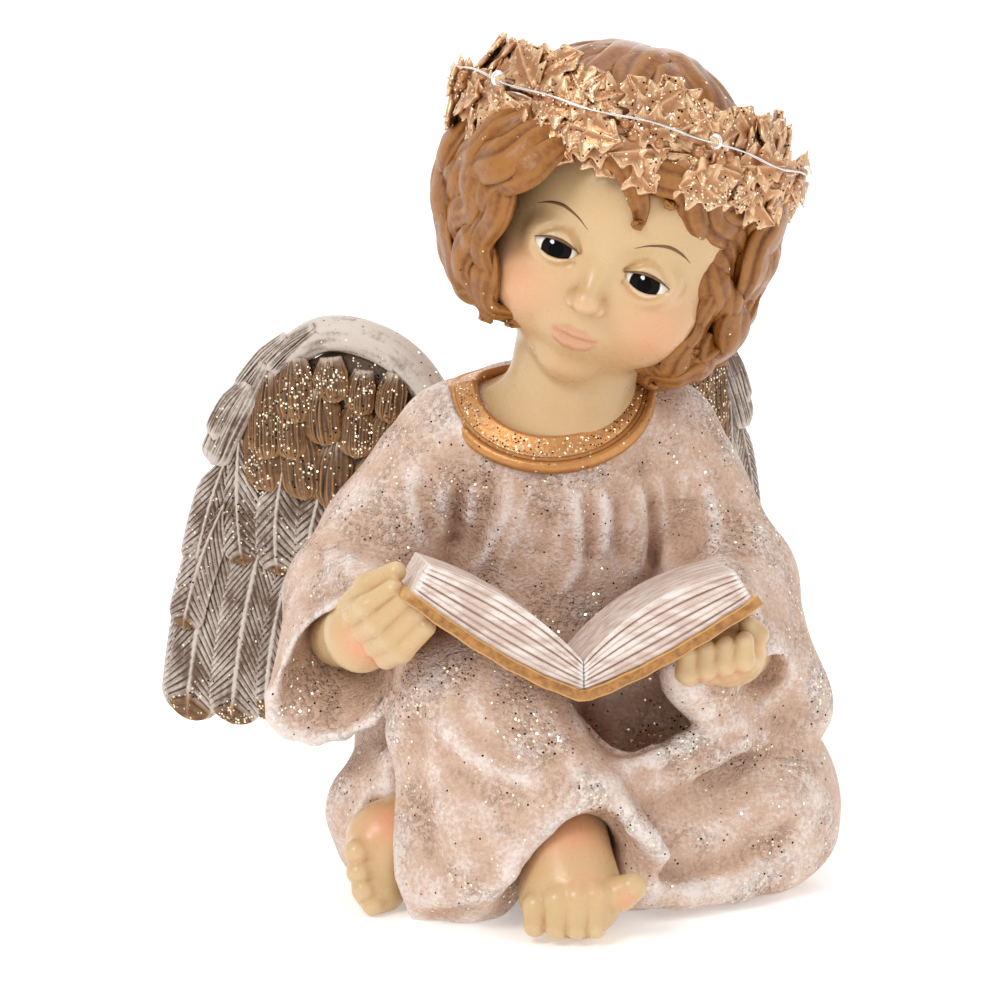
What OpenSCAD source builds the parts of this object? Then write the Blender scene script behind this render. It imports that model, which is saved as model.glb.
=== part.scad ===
// Seated resin angel figurine with an open book, a leaf wreath and battery LED lights.
// Millimetres, +Z up, the resting rim on Z = 0, the figurine looks towards -Y.

/* [Figure] */
// How far the chest is turned to the right of the head's gaze, in degrees
torso_turn = 20; // [15:1:25]
// Glue gap left between neighbouring castings
glue_gap = 0.15; // [0.1:0.05:0.3]
// Bore of the hollow that runs up the body
column_r = 13; // [8:1:14]

/* [Wings] */
// Reach of a wing from its root to the lowest feather tip
wing_reach = 74.5; // [66:0.5:76]
// Thickness of a wing casting
wing_thick = 5; // [3:0.5:6]
// Backward sweep of each wing from the plane of the back, in degrees
wing_sweep = 36; // [30:1:40]

/* [Wreath] */
// Radius of the twig ring
ring_r = 33; // [32:0.5:34]
// Number of leaf stations around the ring
leaf_stations = 22; // [14:1:26]
lead_station = 4; // the place between leaves where the leads come up, with no berry
// Number of LED drops on the wire
led_count = 10; // [6:1:12]

/* [Book] */
// Depth of the book from tail to head
book_depth = 35; // [30:1:36]
// Thickness of the cover
cover_thick = 1.8; // [1.2:0.1:2.2]

/* [Battery compartment] */
// Diameter of one AAA cell
cell_d = 10.5; // [10.3:0.1:10.6]
// Length of one AAA cell without its button
cell_len = 43.4; // [43:0.1:43.8]
// Thickness of the base plate
plate_thick = 2.6; // [2:0.1:3]
// Distance that the battery door slides
door_travel = 9; // [6:0.5:9]
// Distance that the switch knob slides
knob_travel = 3; // [2:0.5:4]

/* [Hidden] */
eps = 0.01;

// Centre of the whole object's box, which is moved onto the origin
box_mid = [-1.72, 17.06, 0];

robe_colour = [0.74, 0.64, 0.58];
skin_colour = [0.91, 0.81, 0.66];
hair_colour = [0.62, 0.38, 0.21];
gold_colour = [0.80, 0.56, 0.38];
cover_colour = [0.62, 0.40, 0.17];
page_colour = [0.93, 0.90, 0.87];
wing_colour = [0.64, 0.55, 0.48];
steel_colour = [0.75, 0.76, 0.78];
plastic_colour = [0.93, 0.92, 0.89];

// Landmarks of the figure, before box_mid is taken off
pelvis = [10, 12, 26];
belly = [12, 11, 50];
chest = [12, 8, 77];
near_knee = [-6, -33, 44];
far_knee = [57, -12, 17];
skull = [23, 0, 147];
jaw = [15, -11, 125];
neck_low = [13, 4, 92];
neck_high = [17, 1, 120];
neckline = [11.5, 3, 106];
collar_in = 18.4;
collar_w = 4.2;
collar_thick = 2.8;
wreath_mid = [26.4, 2.3, 157.5];
twig_r = 1.9;
book_foot = [17.4, -56.5, 52.8];
wing_mid = [8.4, 30];
wing_spread = 12.8;
tab = 8;
pin_z = [68, 82];

// Battery compartment, worked out from the cells
chamber_r = 10;
chamber_top = 24;
ledge_z = 7.2;
ledge_w = 3;
plate_z = ledge_z - plate_thick - 0.1;
box_mid_xy = [10, -3];
wall = 1.5;
bay = [cell_len + 8, 2 * cell_d + 1.2];
box_out = [bay[0] + 2 * wall, bay[1] + 2 * wall];
box_top = 18;
flange_z = plate_z - 1.2;
rail_w = 1.3;
door_z = 1.2;
door_thick = flange_z - door_z - 0.25;
door_size = [box_out[0] + 6, box_out[1] + 2];
chamber = [door_size[0] + door_travel + 6.6, 50];
chamber_mid = [14, 2];
cell_z = box_top - wall - 0.2 - cell_d / 2;
cell_shift = 1.1;
switch_xy = [14, 18.5];
lead_slot = [-10, 5];
battery_path = [[-10, 5, 17.4], [-10, 6, 19.6], [-6, 12, 20], [2, 17, 17], [7, 18.5, 13.3]];
lead_path = [[14, 18.5, 13.4], [14, 17, 22], [13, 12, 36], [12, 10, 60], [13, 8, 86],
    [15, 6, 104], [18, 7, 122], [23, 15, 138], [29, 27, 146], [32, 33.5, 148.5]];

function bez(a, b, c, n) = [for (i = [0:n]) let (t = i / n) (1 - t) * (1 - t) * a
    + 2 * (1 - t) * t * b + t * t * c];
function unit(v) = v / norm(v);

module bead(p, r, n = 24) translate(p) sphere(r = r, $fn = n);

module link(a, ra, b, rb, n = 24) hull() {
    bead(a, ra, n);
    bead(b, rb, n);
}

module disc(x, y, r, h) translate([x, y, 0]) cylinder(r = r, h = h, $fn = 24);

// ---- robe ----

// Outer form of the robe without its sleeves, grown by g
module robe_mass(g = 0) {
    hull() {
        disc(-24, 6, 12 + g, 6 + g);
        disc(-14, 26, 16 + g, 6 + g);
        disc(38, 26, 17 + g, 6 + g);
        disc(46, -4, 16 + g, 6 + g);
        disc(-8, -22, 16 + g, 6 + g);
        bead(pelvis, 30 + g);
        bead(belly, 26 + g);
    }
    hull() {
        bead(belly, 26 + g);
        bead(chest, 23.5 + g);
    }
    hull() {
        bead(chest, 23.5 + g);
        bead([-9, 5, 92], 12 + g);
        bead([35, 11, 92], 12 + g);
        bead([12, 5, 96], 13.5 + g);
        bead([12, 14.5, 105], 13.5 + g);
    }
    link([4, 2, 34], 22 + g, near_knee, 14.5 + g);
    hull() {
        bead(near_knee, 14.5 + g);
        bead([-12, -24, 30], 15 + g);
        disc(-10, -30, 10 + g, 3 + g);
        disc(-8, -40, 10.5 + g, 3 + g);
    }
    hull() {
        bead(near_knee, 14 + g);
        disc(-8, -40, 10.5 + g, 3 + g);
        bead([6, -41, 22], 11 + g);
        bead([19, -40, 24], 9 + g);
    }
    hull() {
        bead([24, 4, 26], 22 + g);
        bead(far_knee, 15.5 + g);
        disc(56, -8, 16 + g, 6 + g);
    }
    hull() {
        bead(far_knee, 15 + g);
        disc(56, -8, 16.5 + g, 6 + g);
        bead([38, -22, 22], 15 + g);
        disc(38, -29, 12 + g, 5 + g);
        disc(16, -30, 12 + g, 5 + g);
    }
}

// Space that the wires and the battery compartment need inside the robe
module robe_hollow() {
    translate([chamber_mid[0], chamber_mid[1], -1]) {
        rounded_plate([chamber[0], chamber[1]], chamber_r, ledge_z + 1);
        rounded_plate([chamber[0] - 2 * ledge_w, chamber[1] - 2 * ledge_w],
            chamber_r - ledge_w, chamber_top + 1);
    }
    translate([12, 9, chamber_top - 1])
        cylinder(r = column_r, h = 66, $fn = 32);
}

module rounded_plate(size, r, h) {
    dx = size[0] / 2 - r;
    dy = size[1] / 2 - r;
    linear_extrude(h) union() {
        square([2 * dx, size[1]], center = true);
        square([size[0], 2 * dy], center = true);
        for (x = [-dx, dx], y = [-dy, dy])
            translate([x, y]) circle(r = r, $fn = 32);
    }
}

module robe_body() color(robe_colour) difference() {
    robe_mass();
    robe_hollow();
    translate([0, 0, -20]) cube([300, 300, 40], center = true);
    neck_plug(glue_gap);
    neckline_cut();
    pin_set(glue_gap);
    for (side = [-1, 1]) wing_blade(side, glue_gap);
    foot_right_mass(glue_gap);
    foot_left_mass(glue_gap);
    book_block(glue_gap);
}

module sleeve_right_mass(g = 0) {
    link([-11, 7, 91], 12.5 + g, [-31, 3, 62], 12.5 + g);
    hull() {
        bead([-31, 3, 62], 12.5 + g);
        bead([-33, -24, 59], 9 + g);
        bead([-36, -12, 44], 12.5 + g);
    }
    hull() {
        bead([-33, -24, 59], 9 + g);
        bead([-38, -14, 40], 10 + g);
        bead([-29, -18, 41], 8 + g);
    }
}

module sleeve_left_mass(g = 0) {
    link([37, 13, 91], 12.5 + g, [49, 6, 62], 12 + g);
    hull() {
        bead([49, 6, 62], 12 + g);
        bead([51, -22, 58], 9 + g);
        bead([52, -6, 44], 13 + g);
    }
    hull() {
        bead([50, -23, 55], 9 + g);
        bead([58, -12, 39], 8.5 + g);
        bead([42, -20, 46], 7.5 + g);
    }
}

module right_sleeve() color(robe_colour) difference() {
    sleeve_right_mass();
    robe_mass(glue_gap);
    hand_right_mass(glue_gap);
    link([-33, -34, 56], 8.5, [-33, -22, 56], 7.5);
    neckline_cut();
    wing_blade(-1, glue_gap);
    book_block(glue_gap);
}

module left_sleeve() color(robe_colour) difference() {
    sleeve_left_mass();
    robe_mass(glue_gap);
    hand_left_mass(glue_gap);
    link([51, -34, 54], 8.5, [51, -21, 53], 7.5);
    neckline_cut();
    wing_blade(1, glue_gap);
    book_block(glue_gap);
}

// ---- hands and feet ----

module hand_right_mass(g = 0) {
    link([-34, -20, 55], 5.5 + g, [-29, -38, 61], 6.5 + g, 16);
    link([-29, -38, 61], 6.5 + g, [-25, -41, 64], 6 + g, 16);
    for (i = [0:3])
        link([-27.7 + 2.3 * i, -44 - 0.6 * i, 67.6 - 2.6 * i], 3 + g,
            [-22 + 2.2 * i, -47, 71 - 2.1 * i], 2.8 + g, 12);
    link([-29, -38, 67], 3 + g, [-21.5, -42, 74], 2.6 + g, 12);
}

module hand_left_mass(g = 0) {
    link([51, -18, 52], 5.5 + g, [48, -33, 57], 6 + g, 16);
    link([48, -33, 57], 6 + g, [44, -36, 58], 5.5 + g, 16);
    for (i = [0:3])
        link([40.5 + 3.6 * i, -38, 53.8 + 0.8 * i], 2.9 + g,
            [38.8 + 3.7 * i, -43, 57.4 + 1.1 * i], 2.7 + g, 12);
    link([54, -36, 62], 2.8 + g, [53, -40, 68], 2.5 + g, 12);
}

module right_hand() color(skin_colour) difference() {
    hand_right_mass();
    book_block(glue_gap);
}

module left_hand() color(skin_colour) difference() {
    hand_left_mass();
    book_block(glue_gap);
    robe_mass(glue_gap);
}

module foot_right_mass(g = 0) {
    link([14, -38, 20], 8 + g, [13, -47, 11], 9 + g, 20);
    hull() {
        bead([13, -47, 9], 9 + g, 20);
        bead([9.5, -55, 5], 5.5 + g, 20);
        bead([20, -54, 6], 6 + g, 20);
    }
    for (i = [0:3])
        link([9 + 4 * i, -55, 5], 3.2 + g, [7.8 + 4.2 * i, -60 - 0.3 * i, 4.8 + 0.5 * i], 2.6 + g, 12);
    link([21, -54, 7], 4 + g, [25, -58, 8.2], 3.6 + g, 12);
}

module foot_left_mass(g = 0) {
    link([-16, -26, 14], 7 + g, [-25, -33, 13], 6.5 + g, 20);
    link([-25, -33, 13], 6.5 + g, [-25.5, -36, 6], 5.5 + g, 20);
    for (i = [0:3])
        link([-27, -36, 12 - 2.6 * i], 3 + g, [-28.5, -40, 11.5 - 2.6 * i], 2.4 + g, 12);
}

module above_ground() intersection() {
    children();
    translate([-100, -100, 0]) cube([200, 200, 60]);
}

module right_foot() color(skin_colour) above_ground() foot_right_mass();

module left_foot() color(skin_colour) above_ground() foot_left_mass();

// ---- head ----

// Neck and the bare skin inside the neckline
module neck_plug(g = 0) {
    link(neck_low, 10.5 + g, neck_high, 11.5 + g);
    hull() {
        neckline_frame() translate([0, 0, -3]) cylinder(r = collar_in - 0.3 + g, h = 2, $fn = 32);
        bead([13, 5, 88], 9 + g);
    }
}

module head_mass(g = 0) {
    hull() {
        bead(skull, 25.5 + g);
        bead(skull + [-2, -4, -10], 24 + g);
    }
    hull() {
        bead(skull + [-2, -4, -10], 24 + g);
        bead(jaw, 12.5 + g);
        bead([5, -8, 134], 14 + g);
        bead([27, -8, 127], 14 + g);
    }
    bead([17.2, -28.5, 131], 2.6 + g, 16);
}

// Chain of tubes along the lead's path, from point number first on
module lead_passage(r, first = 0) for (i = [first:len(lead_path) - 2])
    link(lead_path[i], r, lead_path[i + 1], r, 12);

module head() color(skin_colour) difference() {
    union() {
        head_mass();
        neck_plug();
    }
    lead_passage(2.2, 3);
}

module hair_mass() {
    hull() {
        bead([24.5, 5, 147], 32);
        bead([26, 2, 152], 29);
    }
    hull() {
        bead([10, 4, 150], 22);
        bead([0, 0, 146], 13);
        bead([-1, 0, 136], 11);
        bead([5, 8, 128], 10);
    }
    hull() {
        bead([42, 2, 142], 18);
        bead([49, 0, 132], 11);
        bead([40, 8, 120], 11);
        bead([42, -2, 116], 9.5);
    }
    hull() {
        bead([26, 16, 140], 24);
        bead([24, 16, 122], 14);
    }
}

// Opening of the hair around the face
module face_window() hull() {
    for (p = [[12, 134], [17, 147], [30, 141], [32, 128], [22, 112], [8, 118]])
        translate([p[0], -50, p[1]]) rotate([-90, 0, 0]) cylinder(r = 12, h = 38, $fn = 24);
}

module wreath_frame() translate(wreath_mid) rotate([-7, 17, 0]) children();

// Ring-shaped space that the wreath takes out of the hair
module wreath_seat() wreath_frame() rotate_extrude($fn = 64)
    translate([ring_r - 2.6, -7.5]) square([30, 15]);

module hair() color(hair_colour) difference() {
    hair_mass();
    head_mass(glue_gap);
    neck_plug(glue_gap);
    face_window();
    wreath_seat();
    lead_passage(2.2, 5);
    robe_mass(glue_gap);
    sleeve_left_mass(glue_gap);
    neckline_frame() translate([0, 0, -30]) cylinder(r = 24, h = 32, $fn = 48);
}

// ---- wreath and lights ----

module wreath_ring() color(gold_colour) wreath_frame() rotate_extrude($fn = 64)
    translate([ring_r, 0]) circle(r = twig_r, $fn = 24);

// One folded holly-like leaf: two half blades that meet along the midrib
module leaf(length, width, fold) for (side = [-1, 1]) hull() {
    cylinder(r = 0.5, h = 0.9, $fn = 4);
    translate([length, 0, 0]) cylinder(r = 0.4, h = 0.8, $fn = 4);
    translate([0.35 * length, side * width / 2, fold]) cylinder(r = 0.4, h = 0.8, $fn = 4);
    translate([0.72 * length, side * width / 2.6, fold]) cylinder(r = 0.4, h = 0.8, $fn = 4);
}

// Leaves stand in two rows, one above and one below the wire, outside the twig ring
module wreath_leaves() color(gold_colour) wreath_frame()
    for (i = [0:leaf_stations - 1], k = [-1, 1])
        rotate([0, 0, (i + 0.25 * k) * 360 / leaf_stations])
            translate([ring_r + 3.5, 0, 1.2 * k])
                rotate([0, 0, 62]) rotate([-68 * k, 0, 0]) rotate([0, -12, 0])
                    leaf(9.5, 7, 1.2);

module wreath_berries() color(gold_colour) wreath_frame() for (i = [0:leaf_stations - 1])
    if (i != lead_station) rotate([0, 0, (i + 0.5) * 360 / leaf_stations])
        translate([ring_r, 0, -twig_r - 1.6]) sphere(r = 1.5, $fn = 24);

// Two bare strands that lie on top of the twig ring
module led_wire() color(steel_colour) wreath_frame() for (dr = [-0.35, 0.35])
    rotate_extrude($fn = 64) translate([ring_r + dr, twig_r + 0.35])
        circle(r = 0.24, $fn = 16);

module led_place(i) rotate([0, 0, (i + 0.35) * 360 / led_count])
    translate([ring_r, 0, twig_r + 2.2]) children();

module led_drops() color([0.95, 0.93, 0.82, 0.7]) wreath_frame() for (i = [0:led_count - 1])
    led_place(i) difference() {
        sphere(r = 1.5, $fn = 24);
        cube(0.8, center = true);
    }

module led_chips() color([0.95, 0.85, 0.3]) wreath_frame() for (i = [0:led_count - 1])
    led_place(i) cube(0.6, center = true);

// ---- collar ----

module neckline_frame() translate(neckline) rotate([38, 0, 0]) children();

module collar_ring() neckline_frame() rotate_extrude($fn = 64)
    translate([collar_in, -collar_thick / 2]) square([collar_w, collar_thick]);

// All that stands above the flat seat of the collar
module neckline_cut() neckline_frame() translate([0, 0, -collar_thick / 2 - glue_gap])
    cylinder(r = collar_in + collar_w + glue_gap, h = 40, $fn = 48);

module collar_trim() color(gold_colour) collar_ring();

// ---- book ----

module book_frame() translate(book_foot) rotate([-8, 0, 6]) children();

module book_slab(points, depth) rotate([90, 0, 0]) translate([0, 0, -depth])
    linear_extrude(depth) polygon(points);

function cover_edge(side, lift) = bez([5 * side, lift], [16 * side, 4 + lift],
    [37 * side, 17.5 + lift + (side < 0 ? 3 : 0)], 8);
function reversed(list) = [for (i = [len(list) - 1:-1:0]) list[i]];

module book_cover() color(cover_colour) book_frame() book_slab(concat(
    reversed(cover_edge(-1, 0)), cover_edge(1, 0),
    reversed(cover_edge(1, cover_thick)), cover_edge(-1, cover_thick)), book_depth);

// Block of pages on one side: side is -1 for the angel's right and 1 for the left
module page_block(side) {
    end = [35 * side, 16.6 + cover_thick + (side < 0 ? 2.8 : 0)];
    tip = end + [-3.4 * side, 5.6];
    book_frame() translate([0, 1, 0]) book_slab(concat(
        bez([0.6 * side, cover_thick + 0.3], [15 * side, 4.4 + cover_thick], end, 8),
        bez(tip, [14 * side, 21], [0.6 * side, 7], 8)), book_depth - 2);
}

module right_pages() color(page_colour) page_block(-1);

module left_pages() color(page_colour) page_block(1);

// Closed outline of the whole book, which the hands are cut back to
module book_block(g = 0) book_frame() translate([0, -g, 0]) book_slab([
    [-37.6 - g, 20.2], [-20, 6.4 - g], [-5, -g - 0.1], [5, -g - 0.1], [20, 5.8 - g], [37.6 + g, 17.2],
    [37.4 + g, 20.4], [33, 27], [0, 8], [-33, 30], [-37.4 - g, 23.4]], book_depth + 2 * g);

// ---- wings ----

// Frame of one wing: X runs out along the wing, Y is height, Z is thickness
module wing_frame(side) translate([wing_mid[0], wing_mid[1], 0]) rotate([0, 0, torso_turn])
    translate([side * wing_spread, 0, 0]) rotate([0, 0, side * wing_sweep])
        mirror([side < 0 ? 1 : 0, 0, 0]) rotate([90, 0, 0]) children();

function wing_outline() = concat(
    [[-tab, 62], [-tab, 88]],
    bez([6, 94], [16, 113], [34, 114], 7),
    bez([44, 113], [60, 100], [66, 66], 8),
    bez([68, 50], [70, 36], [wing_reach, 20], 5),
    [[68, 22], [58, 20], [52, 25], [45, 21], [38, 30], [32, 29]],
    bez([26, 38], [16, 52], [6, 58], 4));

module wing_blade(side, g = 0) wing_frame(side)
    translate([0, 0, -wing_thick / 2 - g]) linear_extrude(wing_thick + 2 * g)
        polygon(wing_outline());

// Two dowels in each wing root
module pin_set(g = 0) for (side = [-1, 1], z = pin_z)
    wing_frame(side) translate([-tab - 2.5 - g, z, 0]) rotate([0, 90, 0])
        cylinder(r = 0.8 + g, h = 12 + 2 * g, $fn = 24);

module wing(side) difference() {
    wing_blade(side);
    for (z = pin_z) wing_frame(side) translate([-tab - 3, z, 0]) rotate([0, 90, 0])
        cylinder(r = 0.8 + glue_gap, h = 12.5 + glue_gap, $fn = 24);
}

module right_wing() color(wing_colour) wing(-1);

module left_wing() color(wing_colour) wing(1);

module wing_pins() color(steel_colour) pin_set();

// ---- battery compartment ----

module slab(mid, size, z, h) translate([mid[0] - size[0] / 2, mid[1] - size[1] / 2, z])
    cube([size[0], size[1], h]);

module base_plate() color(plastic_colour) difference() {
    translate([chamber_mid[0], chamber_mid[1], plate_z])
        rounded_plate([chamber[0] - 0.4, chamber[1] - 0.4], chamber_r - 0.2, plate_thick);
    slab(box_mid_xy, [box_out[0] + 0.4, box_out[1] + 0.4], plate_z - 1, plate_thick + 2);
    slab(switch_xy, [knob_travel + 4, 3], plate_z - 1, plate_thick + 2);
}

// Open box for the cells, with a flange and two rails that the door slides in
module battery_box() color(plastic_colour) difference() {
    union() {
        slab(box_mid_xy, box_out, flange_z, box_top - flange_z);
        slab(box_mid_xy, [door_size[0] + 0.4, door_size[1] + 2 * rail_w + 0.5], flange_z, 1.1);
        for (s = [-1, 1]) {
            edge = box_mid_xy[1] + s * (door_size[1] / 2 + 0.25 + rail_w / 2);
            slab([box_mid_xy[0], edge], [door_size[0], rail_w], 0.5, flange_z - 0.5 + eps);
            slab([box_mid_xy[0], edge - s * 0.7], [door_size[0], rail_w + 0.4], 0.3, 0.6);
        }
    }
    slab(box_mid_xy, bay, flange_z - 1, box_top - flange_z - wall + 1);
    slab(lead_slot, [2, 2], box_top - 3, 5);
}

module battery_door() color(plastic_colour) difference() {
    slab(box_mid_xy, door_size, door_z, door_thick);
    for (i = [0:4])
        slab([box_mid_xy[0] - 24 + 2 * i, box_mid_xy[1]], [0.8, 12], door_z - 0.4, 0.8);
}

module cell_place(k) translate([box_mid_xy[0], box_mid_xy[1] + k * (cell_d / 2 + 0.15), cell_z])
    rotate([0, 0, k > 0 ? 180 : 0]) translate([cell_shift - cell_len / 2, 0, 0])
        rotate([0, 90, 0]) children();

module aaa_cells() color([0.35, 0.37, 0.40]) for (k = [-1, 1]) cell_place(k) {
    cylinder(d = cell_d, h = cell_len, $fn = 48);
    translate([0, 0, cell_len - 0.5]) cylinder(d = 3.8, h = 1.5, $fn = 32);
}

module spring_coil() {
    wire = 0.3;
    count = 24;
    points = [for (i = [0:count], a = [0:5]) let (r = 2.2 + 0.06 * i)
        [(r + wire * cos(a * 60)) * cos(i * 45), (r + wire * cos(a * 60)) * sin(i * 45),
            -0.4 - i * 0.09 + wire * sin(a * 60)]];
    sides = [for (i = [0:count - 1], a = [0:5]) let (b = (a + 1) % 6)
        [i * 6 + a, i * 6 + b, i * 6 + 6 + b, i * 6 + 6 + a]];
    polyhedron(points, concat(sides, [[5, 4, 3, 2, 1, 0],
        [for (a = [0:5]) count * 6 + a]]), convexity = 8);
}

module spring_contacts() color(steel_colour) for (k = [-1, 1]) cell_place(k) spring_coil();

module plate_contacts() color(steel_colour) for (k = [-1, 1]) cell_place(k) {
    translate([-4, -3.6, cell_len + 1.05]) cube([8, 7.2, 0.3]);
    translate([-4, -3.6, -3.25]) cube([8, 7.2, 0.3]);
}

module switch_body() color([0.2, 0.2, 0.22]) difference() {
    slab(switch_xy, [13, 6], plate_z + plate_thick + 0.1, 4.2);
    slab(switch_xy, [knob_travel + 3, 2.6], plate_z, plate_thick + 2.6);
}

module switch_knob() color([0.15, 0.15, 0.16]) {
    x = switch_xy[0] - knob_travel / 2;
    slab([x, switch_xy[1]], [2.4, 2], 1.6, 6.6);
}

module circuit_board() color([0.12, 0.38, 0.22]) slab(switch_xy, [18, 8],
    plate_z + plate_thick + 4.5, 1);

// Round cable along a list of points, with rings at the quarters of each stretch
module cable(stops, r) {
    path = concat([for (i = [0:len(stops) - 2], t = [0:0.25:0.99])
        stops[i] * (1 - t) + stops[i + 1] * t], [stops[len(stops) - 1]]);
    n = len(path);
    points = [for (i = [0:n - 1]) let (
            d = unit(path[min(i + 1, n - 1)] - path[max(i - 1, 0)]),
            u = unit(cross(d, [1, 0.2, 0])), v = cross(d, u))
        for (a = [0:7]) path[i] + r * (cos(a * 45) * u + sin(a * 45) * v)];
    sides = [for (i = [0:n - 2], a = [0:7]) let (b = (a + 1) % 8)
        [i * 8 + a, i * 8 + 8 + a, i * 8 + 8 + b, i * 8 + b]];
    polyhedron(points, concat(sides, [[for (a = [7:-1:0]) a],
        [for (a = [0:7]) (n - 1) * 8 + a]]), convexity = 6);
}

module lead_wires() color([0.85, 0.83, 0.78]) {
    cable(lead_path, 0.7);
    cable(battery_path, 0.5);
}

module placed() translate(-box_mid) children();

placed() robe_body();
placed() right_sleeve();
placed() left_sleeve();
placed() right_hand();
placed() left_hand();
placed() right_foot();
placed() left_foot();
placed() head();
placed() hair();
placed() wreath_ring();
placed() wreath_leaves();
placed() wreath_berries();
placed() led_wire();
placed() led_drops();
placed() led_chips();
placed() collar_trim();
placed() book_cover();
placed() right_pages();
placed() left_pages();
placed() right_wing();
placed() left_wing();
placed() wing_pins();
placed() base_plate();
placed() battery_box();
placed() battery_door();
placed() aaa_cells();
placed() spring_contacts();
placed() plate_contacts();
placed() circuit_board();
placed() switch_body();
placed() switch_knob();
placed() lead_wires();
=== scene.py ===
"""Looks of the seated resin angel figurine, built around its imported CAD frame.

Shapes are worked out in millimetres in the figure's own frame, the one part.scad uses before
it centres the object: +Z up, the figure looks towards -Y. metres() brings them to the row frame.
"""

import math

import bpy
from mathutils.bvhtree import BVHTree
import numpy as np
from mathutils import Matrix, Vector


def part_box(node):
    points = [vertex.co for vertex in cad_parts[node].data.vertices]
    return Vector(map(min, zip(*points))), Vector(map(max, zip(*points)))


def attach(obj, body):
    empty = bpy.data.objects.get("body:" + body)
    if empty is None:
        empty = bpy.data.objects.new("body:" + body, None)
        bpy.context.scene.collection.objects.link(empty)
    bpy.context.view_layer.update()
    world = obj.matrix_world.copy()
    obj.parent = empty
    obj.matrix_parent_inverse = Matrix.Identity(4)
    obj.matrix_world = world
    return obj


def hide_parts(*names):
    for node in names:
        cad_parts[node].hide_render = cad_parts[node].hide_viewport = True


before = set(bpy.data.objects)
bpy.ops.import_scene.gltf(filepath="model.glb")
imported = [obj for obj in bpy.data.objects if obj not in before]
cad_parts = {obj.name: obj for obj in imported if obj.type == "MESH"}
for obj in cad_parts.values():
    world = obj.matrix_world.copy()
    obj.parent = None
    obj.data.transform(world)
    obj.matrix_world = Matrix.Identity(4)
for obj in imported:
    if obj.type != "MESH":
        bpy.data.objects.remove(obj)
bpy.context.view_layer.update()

# The base plate's middle in the figure's frame ties the two frames together
PLATE_MID = (14, 2)
plate_low, plate_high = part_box("base_plate")
SHIFT = np.array([(plate_low.x + plate_high.x) * 500 - PLATE_MID[0],
                  (plate_low.y + plate_high.y) * 500 - PLATE_MID[1], 0])

rng = np.random.default_rng(11)


def metres(points):
    return (np.asarray(points, float) + SHIFT) / 1000


# ---- camera and lights ----

VIEW_TILT = math.radians(12)
VIEW_RANGE = 1000
VIEW_LENS = 167.04
VIEW_TARGET = np.array([0, 0, 81])


def add_camera():
    data = bpy.data.cameras.new("camera")
    data.lens, data.sensor_width, data.clip_start = VIEW_LENS, 36, 0.01
    camera = bpy.data.objects.new("camera", data)
    back = np.array([0, -math.cos(VIEW_TILT), math.sin(VIEW_TILT)]) * VIEW_RANGE
    camera.location = metres(VIEW_TARGET + back)
    camera.rotation_euler = (math.pi / 2 - VIEW_TILT, 0, 0)
    bpy.context.scene.collection.objects.link(camera)
    bpy.context.scene.camera = camera


LIGHT_TARGET = np.array([0, 0, 0.08])


def add_light(name, place, size, power):
    data = bpy.data.lights.new(name, "AREA")
    data.shape, data.size, data.energy = "DISK", size, power
    light = bpy.data.objects.new(name, data)
    light.location = place
    aim = LIGHT_TARGET - np.array(place)
    yaw = math.atan2(-aim[0], aim[1])
    pitch = math.atan2(math.hypot(aim[0], aim[1]), -aim[2])
    light.rotation_euler = (pitch, 0, yaw)
    bpy.context.scene.collection.objects.link(light)


add_camera()
add_light("key", (-0.5, -0.7, 0.8), 0.45, 4.4)
add_light("fill", (0.8, -0.6, 0.45), 0.7, 1.3)
add_light("top", (0.0, 0.15, 0.95), 0.6, 1.9)
add_light("rim", (0.1, 0.9, 0.5), 0.6, 1.0)

# ---- distance fields ----

FLOOR_GAP = 0.02


def length(v):
    return np.sqrt(np.einsum("ij,ij->i", v, v))


def ball(p, centre, radii):
    r = np.broadcast_to(np.float32(radii), 3)
    q = (p - np.float32(centre)) / r
    near = length(q)
    return near * (near - 1) / np.maximum(length(q / r), 1e-6)


def limb(p, a, ra, b, rb):
    a, b = np.float32(a), np.float32(b)
    along = b - a
    t = np.clip((p - a) @ along / (along @ along), 0, 1)
    return length(p - a - t[:, None] * along) - (ra + (rb - ra) * t)


def blend(k, *fields):
    """Union of fields with a fillet of about k."""
    total = fields[0]
    for f in fields[1:]:
        h = np.clip(0.5 + 0.5 * (f - total) / k, 0, 1)
        total = f * (1 - h) + total * h - k * h * (1 - h)
    return total


def carve(total, cutter, k):
    return -blend(k, -total, cutter)


def bent(p, k, *stops):
    """Limb through several stops, each a point and a radius."""
    return blend(k, *[limb(p, *a, *b) for a, b in zip(stops[:-1], stops[1:])])


def fan(p, k, root, root_r, rim, rim_r):
    return blend(k, *[limb(p, root, root_r, q, rim_r) for q in rim])


def chain(p, stops, r, k=1.0):
    return blend(k, *[limb(p, a, r, b, r) for a, b in zip(stops[:-1], stops[1:])])


def grid(count):
    axes = np.meshgrid(*[np.arange(c) for c in count], indexing="ij")
    return np.stack(axes, -1).reshape(-1, 3)


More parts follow.
